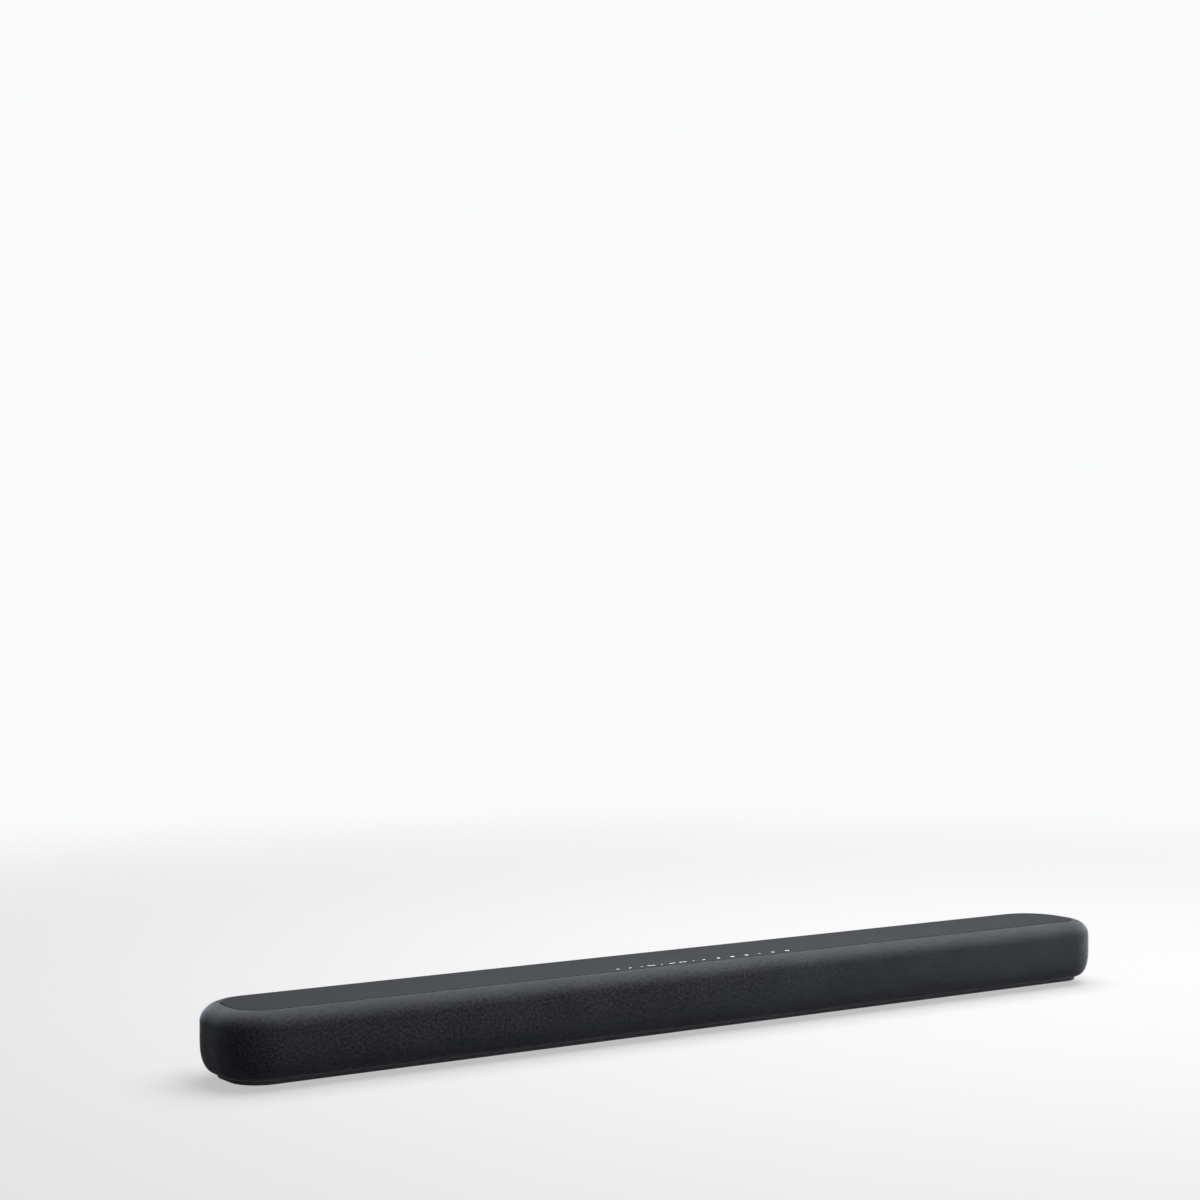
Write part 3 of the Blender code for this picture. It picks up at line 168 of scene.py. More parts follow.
def cloth_section(steps):
    """(inset, height) of the cloth from its lower hem to its upper one.

    A flat hem, a quarter superellipse up to the widest line, an ellipse up to the panel's edge, and a
    small roll down into the gap.
    """
    angle = np.linspace(0.0, math.pi / 2, steps + 1)
    base = cloth_low.z
    lower = np.stack([
        LOWER_INSET * (1 - np.sin(angle) ** (2 / LOWER_POWER)),
        base + LOWER_RISE * (1 - np.abs(np.cos(angle)) ** (2 / LOWER_POWER)),
    ], 1)
    last = math.acos(1 - CLOTH_EDGE_INSET / UPPER_INSET)
    angle = np.linspace(0.0, last, steps + 1)[1:]
    upper = np.stack([UPPER_INSET * (1 - np.cos(angle)), BAR_TOP - UPPER_DROP * (1 - np.sin(angle))], 1)
    angle = np.linspace(0.0, math.pi / 2, ROLL_POINTS)[1:]
    top = upper[-1]
    roll = np.stack([top[0] + EDGE_ROLL * np.sin(angle), top[1] - EDGE_ROLL * (1 - np.cos(angle))], 1)
    tuck = roll[-1] + np.array([[0.0, -CLOTH_TUCK]])
    hem = np.array([[LOWER_INSET + CLOTH_TUCK / 2, base + EDGE_ROLL / 2]])
    return np.concatenate([hem, lower, upper, roll, tuck])


def piece(name, mesh, body, slot, material, *stands_for):
    """A finished object at the origin: it rides on a body, wears the given material and hides the frame
    nodes it stands for.

    A piece that bends between two bodies is given no body here. slot is not used.
    """
    made = bpy.data.objects.new(name, mesh)
    bpy.context.scene.collection.objects.link(made)
    mesh.name = name
    mesh.materials.clear()
    mesh.materials.append(material)
    if body:
        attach(made, body)
    if stands_for:
        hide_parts(*stands_for)
    return made


def grid_mesh(name, points, uv=None, wrap=(False, False)):
    """A mesh of quads through a grid of points; wrap joins the last row or column to the first."""
    index = np.arange(points.shape[0] * points.shape[1]).reshape(points.shape[:2])
    if wrap[0]:
        index = np.concatenate([index, index[:1]])
    if wrap[1]:
        index = np.concatenate([index, index[:, :1]], 1)
    faces = np.stack([index[:-1, :-1], index[:-1, 1:], index[1:, 1:], index[1:, :-1]], -1).reshape(-1, 4)
    mesh = bpy.data.meshes.new(name)
    mesh.from_pydata(points.reshape(-1, 3), [], faces)
    if uv is not None:
        layer = mesh.uv_layers.new(name="weave")
        layer.uv.foreach_set("vector", uv.reshape(-1, 2)[faces.ravel()].astype(np.float32).ravel())
    mesh.shade_smooth()
    return mesh


class Signal:
    """A node's output socket; arithmetic on it adds Math nodes."""

    def __init__(self, socket):
        self.socket = socket

    def math(self, operation, *values):
        node = self.socket.id_data.nodes.new("ShaderNodeMath")
        node.operation = operation
        for place, value in enumerate(values):
            connect(node.inputs[place], value)
        return Signal(node.outputs[0])

    def __add__(self, other):
        return self.math("ADD", self, other)

    def __sub__(self, other):
        return self.math("SUBTRACT", self, other)

    def __rsub__(self, other):
        return self.math("SUBTRACT", other, self)

    def __mul__(self, other):
        return self.math("MULTIPLY", self, other)

    def __truediv__(self, other):
        return self.math("DIVIDE", self, other)

    def __abs__(self):
        return self.math("ABSOLUTE", self)

    __radd__ = __add__
    __rmul__ = __mul__

    def part(self):
        """What is left of it past its whole number."""
        return self.math("FRACT", self)

    def whole(self):
        return self.math("FLOOR", self)

    def root(self):
        return self.math("SQRT", self)


def connect(socket, value):
    """Links a signal to a socket, or sets the socket to a plain value."""
    if isinstance(value, Signal):
        socket.id_data.links.new(value.socket, socket)
    elif socket.type == "RGBA" and len(value) == 3:
        socket.default_value = (*value, 1.0)
    else:
        socket.default_value = value


class Nodes:
    """A node tree under construction."""

    def __init__(self, tree):
        self.tree = tree

    def node(self, kind, settings=(), inputs=(), output=0):
        """Adds a node: its settings first, then the values or links of its sockets. Gives one output."""
        made = self.tree.nodes.new("ShaderNode" + kind)
        for name, value in dict(settings).items():
            setattr(made, name, value)
        for name, value in dict(inputs).items():
            connect(made.inputs[name], value)
        return Signal(made.outputs[output])

    def place(self):
        """Object coordinates, in metres."""
        return self.node("TexCoord", output="Object")

    def axes(self, vector):
        """A vector's three parts."""
        return [self.node("SeparateXYZ", inputs={0: vector}, output=i) for i in range(3)]

    def noise(self, vector, size, detail=2.0):
        """Cloudy noise, 0 to 1, with features of about this size in metres."""
        return self.node("TexNoise", inputs={"Vector": vector, "Scale": 1 / size, "Detail": detail})

    def step(self, value, low, high):
        """0 below low, 1 above high, and smooth between them."""
        return self.node("MapRange", {"interpolation_type": "SMOOTHSTEP"},
                         {"Value": value, "From Min": low, "From Max": high})

    def blend(self, mask, first, second):
        """A colour that goes from the first to the second as the mask goes from 0 to 1."""
        return self.node("Mix", {"data_type": "RGBA"}, {0: mask, 6: first, 7: second}, 2)

    def bump(self, height, depth):
        """A surface normal from a height of 0 to 1, which stands depth metres high."""
        return self.node("Bump", inputs={"Height": height, "Distance": depth})


class Finish(Nodes):
    """A Principled material; constants go on its own sockets."""

    def __init__(self, name, constants=()):
        self.material = bpy.data.materials.new(name)
        self.material.use_nodes = True
        super().__init__(self.material.node_tree)
        self.shader = self.tree.nodes["Principled BSDF"]
        self.wear(constants)

    def wear(self, inputs):
        """Gives sockets of the shader their values or links."""
        for name, value in dict(inputs).items():
            connect(self.shader.inputs[name], value)
        return self.material


def knit():
    """Charcoal warp knit: loops in staggered rows with a small dark hole between them.

    The pattern follows the cloth's own map, in metres. A hole is where the distance from the middle of
    its cell is small; the yarn round it twists, is a little uneven and has paler fibres mixed in. Over
    the top roll the yarn is painted paler, a painted highlight where the overhead light falls on it.
    """
    finish = Finish("charcoal_knit", {
        "Roughness": 0.92, "Specular IOR Level": 0.25,
        "Sheen Weight": 0.85, "Sheen Roughness": 0.24, "Sheen Tint": (0.86, 0.93, 1.0),
    })
    flat = finish.node("UVMap", {"uv_map": "weave"})
    along, up, _ = finish.axes(flat)
    row = up / COURSE
    stagger = (row.whole() * 0.5).part()
    across = (along / WALE + stagger).part() - 0.5
    rise = row.part() - 0.5
    reach = (across * across + rise * rise * 0.8).root()
    yarn = finish.step(reach, 0.16, 0.36)
    twist = ((across * 3.0 + rise * 2.0).part() - 0.5) * 2.0
    fibre = finish.noise(flat, 0.00035, 3.0)
    patch = finish.noise(flat, 0.0023, 2.0)
    drift = finish.noise(flat, 0.055, 2.0)
    tone = finish.step(fibre * 0.40 + patch * 0.45 + drift * 0.15, 0.40, 0.60)
    fleck = finish.step(finish.noise(flat, 0.0011, 1.0), 0.60, 0.72) * 0.6
    thread = finish.blend(tone, (0.0072, 0.0077, 0.0098), (0.0350, 0.0375, 0.0450))
    thread = finish.blend(fleck, thread, (0.1050, 0.1100, 0.1230))
    # Painted highlight: near the top of the cloth, over the roll, the yarn is blended towards a paler grey
    # where the overhead light falls.
    painted_roll_highlight = finish.step(up, 0.048, 0.066) * 0.36
    thread = finish.blend(painted_roll_highlight, thread, (0.0640, 0.0665, 0.0730))
    colour = finish.blend(yarn, (0.0020, 0.0021, 0.0026), thread)
    height = yarn * (0.75 + abs(twist) * 0.12) + fibre * 0.25
    return finish.wear({"Base Color": colour, "Normal": finish.bump(height, 0.00022)})


spine, normal, radius, slip = outline_spine(CORNER_STEPS, FRONT_STEPS, EDGE_ROLL)
section = cloth_section(SECTION_STEPS)
inset = section[:, 0][:, None] + slip[None, :]
plan = spine[None] + normal[None] * (radius[None, :] - inset)[:, :, None]
height = np.broadcast_to(section[:, 1][:, None], inset.shape)
cloth_points = np.concatenate([plan, height[:, :, None]], 2)
middle_row = cloth_points[section.shape[0] // 2]
run = np.concatenate([[0.0], np.cumsum(np.linalg.norm(np.diff(middle_row, axis=0), axis=1))])
climb = np.concatenate([[0.0], np.cumsum(np.linalg.norm(np.diff(section, axis=0), axis=1))])
cloth_map = np.stack(np.meshgrid(run, climb), 2)
cloth_mesh = grid_mesh("grille_cloth", cloth_points, cloth_map)
cloth = piece("grille_cloth", cloth_mesh, "cabinet", "grille_cloth", knit(), "grille_fabric")
wall = cloth.modifiers.new("thickness", "SOLIDIFY")
wall.thickness = CLOTH_THICKNESS
wall.offset = -1.0


# ---- top panel ----------------------------------------------------------------------------
# A flush moulded plate in satin dark grey, with a fine eroded grain and softly rounded edges.
# It hooks in behind the baffle, carries the touch board, and has two microphone holes by its marks.
MERGE = 0.000004
FLAT = math.radians(0.3)
CREASE = 32.0
PANEL_EDGE = 0.0004


def round_edges(made, edge, crease=CREASE):
    """Rounds the corners of a piece that are sharper than the crease, in degrees."""
    rounding = made.modifiers.new("rounded_edges", "BEVEL")
    rounding.width = edge
    rounding.segments = 2
    rounding.limit_method = "ANGLE"
    rounding.angle_limit = math.radians(crease)
    rounding.harden_normals = True


def refined(node, slot, material, edge, crease=CREASE, body="cabinet"):
    """A smooth copy of a frame node, which stands for it.

    Loose triangles are merged, flat faces joined, and corners sharper than the crease rounded by edge.
    """
    shape = bmesh.new()
    shape.from_mesh(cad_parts[node].data)
    bmesh.ops.remove_doubles(shape, verts=shape.verts, dist=MERGE)
    bmesh.ops.dissolve_limit(shape, angle_limit=FLAT, verts=shape.verts, edges=shape.edges)
    mesh = bpy.data.meshes.new(node)
    shape.to_mesh(mesh)
    shape.free()
    for left_over in [a.name for a in mesh.attributes if a.name == "custom_normal"]:
        mesh.attributes.remove(mesh.attributes[left_over])
    mesh.shade_smooth()
    mesh.set_sharp_from_angle(angle=math.radians(crease))
    made = piece("finished_" + node, mesh, body, slot, material, node)
    if edge:
        round_edges(made, edge, crease)
    return made


def moulded(name, colour, roughness, grain, depth, spread=0.10, constants=()):
    """A moulded plastic: an eroded grain of a size and depth, with faint flow marks in tone and gloss."""
    finish = Finish(name, constants)
    place = finish.place()
    grit = finish.noise(place, grain, 3.0)
    flow = finish.noise(place, 0.045, 3.0)
    dust = finish.noise(place, 0.006, 2.0)
    mix = finish.step(flow * 0.7 + dust * 0.3, 0.32, 0.68)
    dark = tuple(c * (1 - spread) for c in colour)
    pale = tuple(c * (1 + spread) for c in colour)
    gloss = roughness + (grit - 0.5) * 0.16 + (dust - 0.5) * 0.08
    return finish.wear({
        "Base Color": finish.blend(mix, dark, pale),
        "Roughness": gloss,
        "Normal": finish.bump(grit, depth),
    })


satin = moulded("satin_grey_plate", (0.0095, 0.0108, 0.0130), 0.42, 0.00045, 0.000035, 0.07,
                {"Specular IOR Level": 0.25, "Specular Tint": (0.84, 0.93, 1.0)})
refined("top_panel", "panel", satin, PANEL_EDGE)
panel_low, panel_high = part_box("top_panel")


# ---- marks on the panel -------------------------------------------------------------------
# Pad-printed in white ink in one row along the panel's front: nine small status marks over the
# light guide, then six touch signs. They are generic signs, and a touch moves nothing.
MARK_ROW = panel_low.y + 0.0073
INK_BASE = panel_high.z + 0.00001
INK_THICKNESS = 0.00004
STROKE_SPREAD = 0.004
END_POINTS = 5
SIGN_WIDTH = 0.50
MILLIMETRE = 0.001


def line(x0, y0, x1, y1):
    """A straight stroke's centre line, in millimetres."""
    return np.linspace((x0, y0), (x1, y1), 3)


def bow(x, y, radius, start, end, steps=20):
    """A stroke along an arc, in millimetres and degrees."""
    angle = np.radians(np.linspace(start, end, steps + 1))
    return np.stack([x + radius * np.cos(angle), y + radius * np.sin(angle)], 1)


def stroke_mesh(strokes, width, x, y):
    """Thin raised strokes of one width round (x, y), each with half-round ends.

    A stroke's outline lies half its width each side of its centre line; past each end the line goes
    on by half a width times a sine while the width shrinks by the cosine. The rim's points run up one
    side and back down the other, so point i faces point count - 1 - i across the stroke.
    """
    points, faces, start = [], [], 0
    swing = np.linspace(0.0, math.pi / 2, END_POINTS + 1)[1:]
    past = np.sin(swing)[:, None] * width / 2
    for centre in strokes:
        along = np.gradient(centre, axis=0)
        along /= np.linalg.norm(along, axis=1)[:, None]
        centre = np.concatenate([centre[0] - along[0] * past[::-1], centre, centre[-1] + along[-1] * past])
        share = np.concatenate([np.cos(swing)[::-1], np.ones(len(along)), np.cos(swing)])
        first, last = np.repeat(along[:1], END_POINTS, 0), np.repeat(along[-1:], END_POINTS, 0)
        along = np.concatenate([first, along, last])
        side = np.stack([-along[:, 1], along[:, 0]], 1) * (share * width / 2 + STROKE_SPREAD)[:, None]
        rim = np.concatenate([centre - side, (centre + side)[::-1]]) * MILLIMETRE + (x, y)
        count = len(rim)
        for height in (INK_BASE, INK_BASE + INK_THICKNESS):
            points.append(np.column_stack([rim, np.full(count, height)]))
        i = np.arange(count)
        j = np.roll(i, -1)
        k = np.arange(count // 2 - 1)
        wall = np.stack([i, j, j + count, i + count], 1)
        roof = np.stack([k, k + 1, count - 2 - k, count - 1 - k], 1) + count
        floor = np.stack([k + 1, k, count - 1 - k, count - 2 - k], 1)
        faces.append(np.concatenate([wall, roof, floor]) + start)
        start += 2 * count
    mesh = bpy.data.meshes.new("ink")
    mesh.from_pydata(np.concatenate(points), [], np.concatenate(faces))
    return mesh


def printed(name, colour, glow):
    """Pad-printing ink: matt, slightly uneven where the pad lifted, and glowing by the given strength."""
    finish = Finish(name, {"Roughness": 0.55, "Emission Strength": glow})
    patch = finish.noise(finish.place(), 0.0004, 2.0)
    tone = finish.blend(finish.step(patch, 0.3, 0.6), tuple(c * 0.82 for c in colour), colour)
    return finish.wear({"Base Color": tone, "Emission Color": tone})


# Each sign is (place along the bar in metres, strokes in millimetres about it).
SIGNS = {
    "microphone_sign": (0.0110, [
        bow(0, 0.9, 0.62, 0, 180), line(-0.62, 0.9, -0.62, 0.0), line(0.62, 0.9, 0.62, 0.0),
        bow(0, 0.0, 0.62, 180, 360), bow(0, 0.0, 1.25, 190, 350), line(0, -1.25, 0, -1.8),
    ]),
    "quiet_sign": (0.0262, [
        line(-1.6, 0.6, -0.8, 0.6), line(-1.6, -0.6, -0.8, -0.6), line(-1.6, 0.6, -1.6, -0.6),
        line(-0.8, 0.6, 0.3, 1.5), line(-0.8, -0.6, 0.3, -1.5), line(0.3, 1.5, 0.3, -1.5),
        line(1.0, 0.6, 2.0, -0.6), line(1.0, -0.6, 2.0, 0.6),
    ]),
    "source_sign": (0.0414, [
        line(0.2, 1.4, 1.7, 1.4), line(1.7, 1.4, 1.7, -1.4), line(0.2, -1.4, 1.7, -1.4),
        line(-1.8, 0, 0.7, 0), line(0.7, 0, 0.0, 0.7), line(0.7, 0, 0.0, -0.7),
    ]),
    "softer_sign": (0.0566, [line(-1.5, 0, 1.5, 0)]),
    "louder_sign": (0.0718, [line(-1.7, 0, 1.7, 0), line(0, -1.7, 0, 1.7)]),
    "power_sign": (0.0880, [bow(0, -0.1, 1.5, 125, 415), line(0, 0.5, 0, 1.9)]),
}
# The touch signs glow faintly: a painted brightness on the white ink, with no lamp under them.
touch_ink = printed("touch_sign_ink", (0.84, 0.86, 0.88), 0.60)
for sign, (sign_x, strokes) in SIGNS.items():
    piece(sign, stroke_mesh(strokes, SIGN_WIDTH, sign_x, MARK_ROW), "cabinet", "panel", touch_ink)

# Each status mark is (place, half its length in millimetres): dots are short, dashes long.
STATUS_WIDTH = 0.85
LAMP_X, LAMP_HALF, LAMP_WIDTH = -0.016, 0.25, 0.95
STATUS_MARKS = (
    (-0.096, 1.3), (-0.083, 1.3), (-0.071, 0.2), (-0.061, 3.6), (-0.050, 0.2),
    (-0.039, 2.6), (-0.0275, 3.8), (-0.005, 1.2),
)
# The status marks glow faintly as well: a painted brightness on the ink; only the status lamp is lit.
status_ink = printed("status_mark_ink", (0.80, 0.82, 0.85), 0.55)
for number, (mark_x, half) in enumerate(STATUS_MARKS, 1):
    mesh = stroke_mesh([line(-half, 0, half, 0)], STATUS_WIDTH, mark_x, MARK_ROW)
    piece(f"status_mark_{number}", mesh, "cabinet", "panel", status_ink)
lamp_mesh = stroke_mesh([line(-LAMP_HALF, 0, LAMP_HALF, 0)], LAMP_WIDTH, LAMP_X, MARK_ROW)
lamp_ink = printed("lit_lamp", (0.86, 0.88, 0.90), 0.9)
piece("status_lamp", lamp_mesh, "cabinet", "light_guide", lamp_ink)


# ---- grille moulding and front cabinet ----------------------------------------------------
# Behind the cloth: a black slotted moulding that it is stretched over, and the baffle with the end
# walls, one moulding in a coarser grain that carries the drivers.
FRAME_EDGE = 0.0003
CASE_EDGE = 0.0005

slotted = moulded("grille_moulding", (0.018, 0.018, 0.019), 0.60, 0.0008, 0.00006)
refined("grille_frame", "frame_plastic", slotted, FRAME_EDGE)
boxy = moulded("cabinet_moulding", (0.024, 0.024, 0.025), 0.55, 0.0010, 0.00008)
refined("front_cabinet", "cabinet_plastic", boxy, CASE_EDGE)


# ---- floor and rear cover -----------------------------------------------------------------
# The floor is a moulded plate whose rim shows as a thin strip under the cloth. The rear cover has
# the spine with its bays. Both have a dull eroded grain, coarser than the panel's.
floor_plastic = moulded("floor_moulding", (0.070, 0.073, 0.081), 0.46, 0.0006, 0.00005)
refined("bottom_cover", "base_plastic", floor_plastic, CASE_EDGE)
rear_plastic = moulded("rear_moulding", (0.019, 0.020, 0.023), 0.52, 0.0008, 0.00008)
refined("rear_cover", "rear_plastic", rear_plastic, CASE_EDGE)


# ---- wall plates --------------------------------------------------------------------------
# Two pressed steel plates with a keyhole each, zinc-plated and sunk flush in the spine. The bar hangs
# from two wall screws by them.
PLATE_EDGE = 0.0002


def plated(name, colour, roughness, grain=0.0012, stretch=(1.0, 1.0, 1.0)):
    """Plated or drawn metal: crystals of plating in its tone, fine draw lines along the stretched axis."""
    finish = Finish(name, {"Metallic": 1.0})
    place = finish.node("Mapping", inputs={"Vector": finish.place(), "Scale": stretch})
    crystal = finish.node("TexVoronoi", inputs={"Vector": place, "Scale": 1 / (grain * 2)}, output="Color")
    cell = finish.axes(crystal)[0]
    scratch = finish.noise(place, grain / 4, 3.0)
    tone = finish.blend(cell * 0.6 + scratch * 0.4, tuple(c * 0.86 for c in colour), colour)
    return finish.wear({
        "Base Color": tone,
        "Roughness": roughness + (scratch - 0.5) * 0.18 + (cell - 0.5) * 0.06,
        "Normal": finish.bump(scratch, 0.00002),
    })


zinc = plated("zinc_plated_steel", (0.56, 0.57, 0.58), 0.36, stretch=(1.0, 1.0, 0.12))
for side in ("left", "right"):
    refined("wall_plate_" + side, "wall_plate", zinc, PLATE_EDGE)


# ---- feet and screws ----------------------------------------------------------------------
# Four soft rubber pads pressed into the floor's pockets, and six black self-tapping screws whose
# heads are sunk flush. Each head has a cross recess.
RECESS_HALF = 0.0015
RECESS_WALL = 0.00032
RECESS_DEPTH = 0.0010
RECESS_TAPER = 0.55
FOOT_EDGE = 0.0004
SCREW_STEPS = 32
SHANK_R = 0.00150
ROOT_R = 0.00122
THREAD_START = 0.0018
HALF_PITCH = 0.00040
TIP_LENGTH = 0.0022
TIP_R = 0.0006
ON_AXIS = 1e-7
BOX_SIDES = np.array([(0, 1, 3, 2), (4, 6, 7, 5), (0, 4, 5, 1), (2, 3, 7, 6), (0, 2, 6, 4), (1, 5, 7, 3)])
# The head's outline as (share of its radius, height above its face).
HEAD = ((0.0, 0.0), (0.72, 0.0), (0.93, 0.0002), (1.0, 0.0005), (1.0, 0.0009), (0.96, 0.0011))
HEAD_HEIGHT = 0.0012

rubber = moulded("foot_rubber", (0.020, 0.020, 0.021), 0.80, 0.0007, 0.00008, 0.18)
for row in ("front", "rear"):
    for side in ("left", "right"):
        refined(f"foot_{row}_{side}", "foot_rubber", rubber, FOOT_EDGE)


def cross_cutter(x, y, low):
    """A tapering cross, wide at the face and narrow at its foot, for a screw's recess."""
    corner = np.array([(i, j, k) for i in (-1, 1) for j in (-1, 1) for k in (-1, 1)], float)
    taper = np.where(corner[:, 2] < 0, 1.0, RECESS_TAPER)
    long, thin = corner[:, 0] * RECESS_HALF * taper, corner[:, 1] * RECESS_WALL * taper
    depth = low + np.where(corner[:, 2] < 0, -RECESS_DEPTH / 4, RECESS_DEPTH)
    first = np.stack([x + long, y + thin, depth], 1)
    second = np.stack([x - thin, y + long, depth], 1)
    mesh = bpy.data.meshes.new("cross")
    mesh.from_pydata(np.concatenate([first, second]), [], np.concatenate([BOX_SIDES, BOX_SIDES + 8]))
    return mesh


def turned_mesh(name, profile, steps, place):
    """A profile of (radius, height) points turned about an axis, through place(radius, height, angle)."""
    angle = np.linspace(0.0, 2 * math.pi, steps, endpoint=False)
    rings = place(profile[:, 0][:, None], profile[:, 1][:, None], angle[None])
    closed = bool(profile[0, 0] > ON_AXIS)
    mesh = grid_mesh(name, np.stack(np.broadcast_arrays(*rings), -1), wrap=(closed, True))
    shape = bmesh.new()
    shape.from_mesh(mesh)
    bmesh.ops.remove_doubles(shape, verts=shape.verts, dist=ON_AXIS)
    bmesh.ops.recalc_face_normals(shape, faces=shape.faces)
    shape.to_mesh(mesh)
    shape.free()
    mesh.shade_smooth()
    mesh.set_sharp_from_angle(angle=math.radians(CREASE))
    return mesh


def upright(x, y, foot):
    """Places a turned profile with its axis straight up from (x, y, foot)."""
    return lambda r, h, a: (x + r * np.cos(a), y + r * np.sin(a), foot + h + 0 * a)


black_zinc = plated("black_zinc", (0.085, 0.085, 0.09), 0.42, 0.0006)
for number in range(1, 7):
    low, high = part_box(f"base_screw_{number}")
    x, y = (low.x + high.x) / 2, (low.y + high.y) / 2
    head_r = (high.x - low.x) / 2
    top = high.z - low.z
    thread = np.arange(THREAD_START, top - TIP_LENGTH, HALF_PITCH)
    crest = np.where(np.arange(thread.size) % 2 == 0, ROOT_R, SHANK_R)
    profile = np.concatenate([
        np.array(HEAD) * (head_r, 1.0), [(SHANK_R, HEAD_HEIGHT)],
        np.stack([crest, thread], 1), [(TIP_R, top), (0.0, top)],
    ])
    mesh = turned_mesh("screw", profile, SCREW_STEPS, upright(x, y, low.z))
    node = f"base_screw_{number}"
    screw = piece("finished_" + node, mesh, "cabinet", "screw", black_zinc, node)
    cutter = bpy.data.objects.new("cross", cross_cutter(x, y, low.z))
    bpy.context.scene.collection.objects.link(cutter)
    carve = screw.modifiers.new("recess", "BOOLEAN")
    carve.object = cutter
    carve.use_self = True
    bpy.context.view_layer.update()
    carved = bpy.data.meshes.new_from_object(screw.evaluated_get(bpy.context.evaluated_depsgraph_get()))
    screw.modifiers.remove(carve)
    screw.data = carved
    bpy.data.objects.remove(cutter)


# ---- woofers ------------------------------------------------------------------------------
# Four small full-range units: a black painted steel basket, a ferrite magnet, a pressed paper cone
# with a dust cap over its voice coil, and a rubber half-roll surround glued to cone and basket.
BAFFLE_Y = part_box("front_cabinet")[0].y
ROUND = 72
THROAT_R = 0.0197
COIL_R = 0.0078
COIL_WALL = 0.0008
CONE_R = 0.0152
CONE_SEAT = 0.0021
CONE_DEPTH = 0.0080
CONE_WALL = 0.0006
CONE_FLARE = 1.3
CAP_RISE = 0.0024
COIL_LENGTH = 0.0080
BASKET_WALL = 0.0012
SURROUND_IN = 0.0155
SURROUND_OUT = 0.0192
SURROUND_ROLL = 0.0034
SURROUND_WALL = 0.0006
LIP = 0.0009
FLANGE_SEAT = 0.0003
COIL_ROOM = 0.0007
POLE_STEP = 0.0015
CONE_BACK_STEP = 0.0003
DRIVER_EDGE = 0.00025
MAGNET_EDGE = 0.0004


def facing_front(x, z):
    """Places a turned profile with its axis towards the front and height 0 on the baffle's face."""
    return lambda r, h, a: (x + r * np.cos(a), BAFFLE_Y - h + 0 * a, z + r * np.sin(a))


def driver_part(name, slot, material, profile, x, z, body="cabinet", edge=0.0):
    """A turned piece of a driver, which stands for the frame node of its name."""
    mesh = turned_mesh(name, np.array(profile), ROUND, facing_front(x, z))
    made = piece("finished_" + name, mesh, body, slot, material, name)
    if edge:
        round_edges(made, edge)
    return made


def cone_profile():
    """Dust cap, flared cone, coil former and back, as (radius, height) from the axis to the axis.

    The cap is a quarter ellipse. The cone rises from the coil by a power of its share of the radius.
    """
    inner = COIL_R - COIL_WALL
    foot = CONE_SEAT - CONE_DEPTH + CONE_WALL
    turn = np.linspace(0.0, math.pi / 2, 12)
    cap = np.stack([inner * np.sin(turn), foot + CAP_RISE * np.cos(turn)], 1)
    share = np.linspace(0.0, 1.0, 16)[1:]
    flare = np.stack([inner + (CONE_R - inner) * share, foot + (CONE_SEAT - foot) * share ** CONE_FLARE], 1)
    back = flare[::-1] - (0.0, CONE_WALL)
    back = back[back[:, 0] > COIL_R + CONE_BACK_STEP]
    coil_top = foot - CONE_WALL
    coil_end = coil_top - COIL_LENGTH
    coil = np.array([(COIL_R, coil_top), (COIL_R, coil_end), (inner, coil_end), (inner, coil_top)])
    under = cap[::-1][1:] - (0.0, CONE_WALL)
    return np.concatenate([cap, flare, back, coil, under])


def surround_profile():
    """A half roll with a flat lip on each side, as a closed loop of (radius, height)."""
    turn = np.linspace(0.0, math.pi, 20)
    middle = (SURROUND_IN + SURROUND_OUT) / 2
    reach = (SURROUND_OUT - SURROUND_IN) / 2
    seat = CONE_SEAT + SURROUND_WALL
    over = np.stack([middle - reach * np.cos(turn), seat + SURROUND_ROLL * np.sin(turn)], 1)
    thin = reach - SURROUND_WALL
    under = np.stack([middle - thin * np.cos(turn), CONE_SEAT + SURROUND_ROLL * np.sin(turn)], 1)[::-1]
    outer_lip = [(SURROUND_OUT + LIP, seat), (SURROUND_OUT + LIP, CONE_SEAT)]
    inner_lip = [(SURROUND_IN - LIP, CONE_SEAT + CONE_WALL / 4), (SURROUND_IN - LIP, seat)]
    return np.concatenate([over, outer_lip, under, inner_lip])


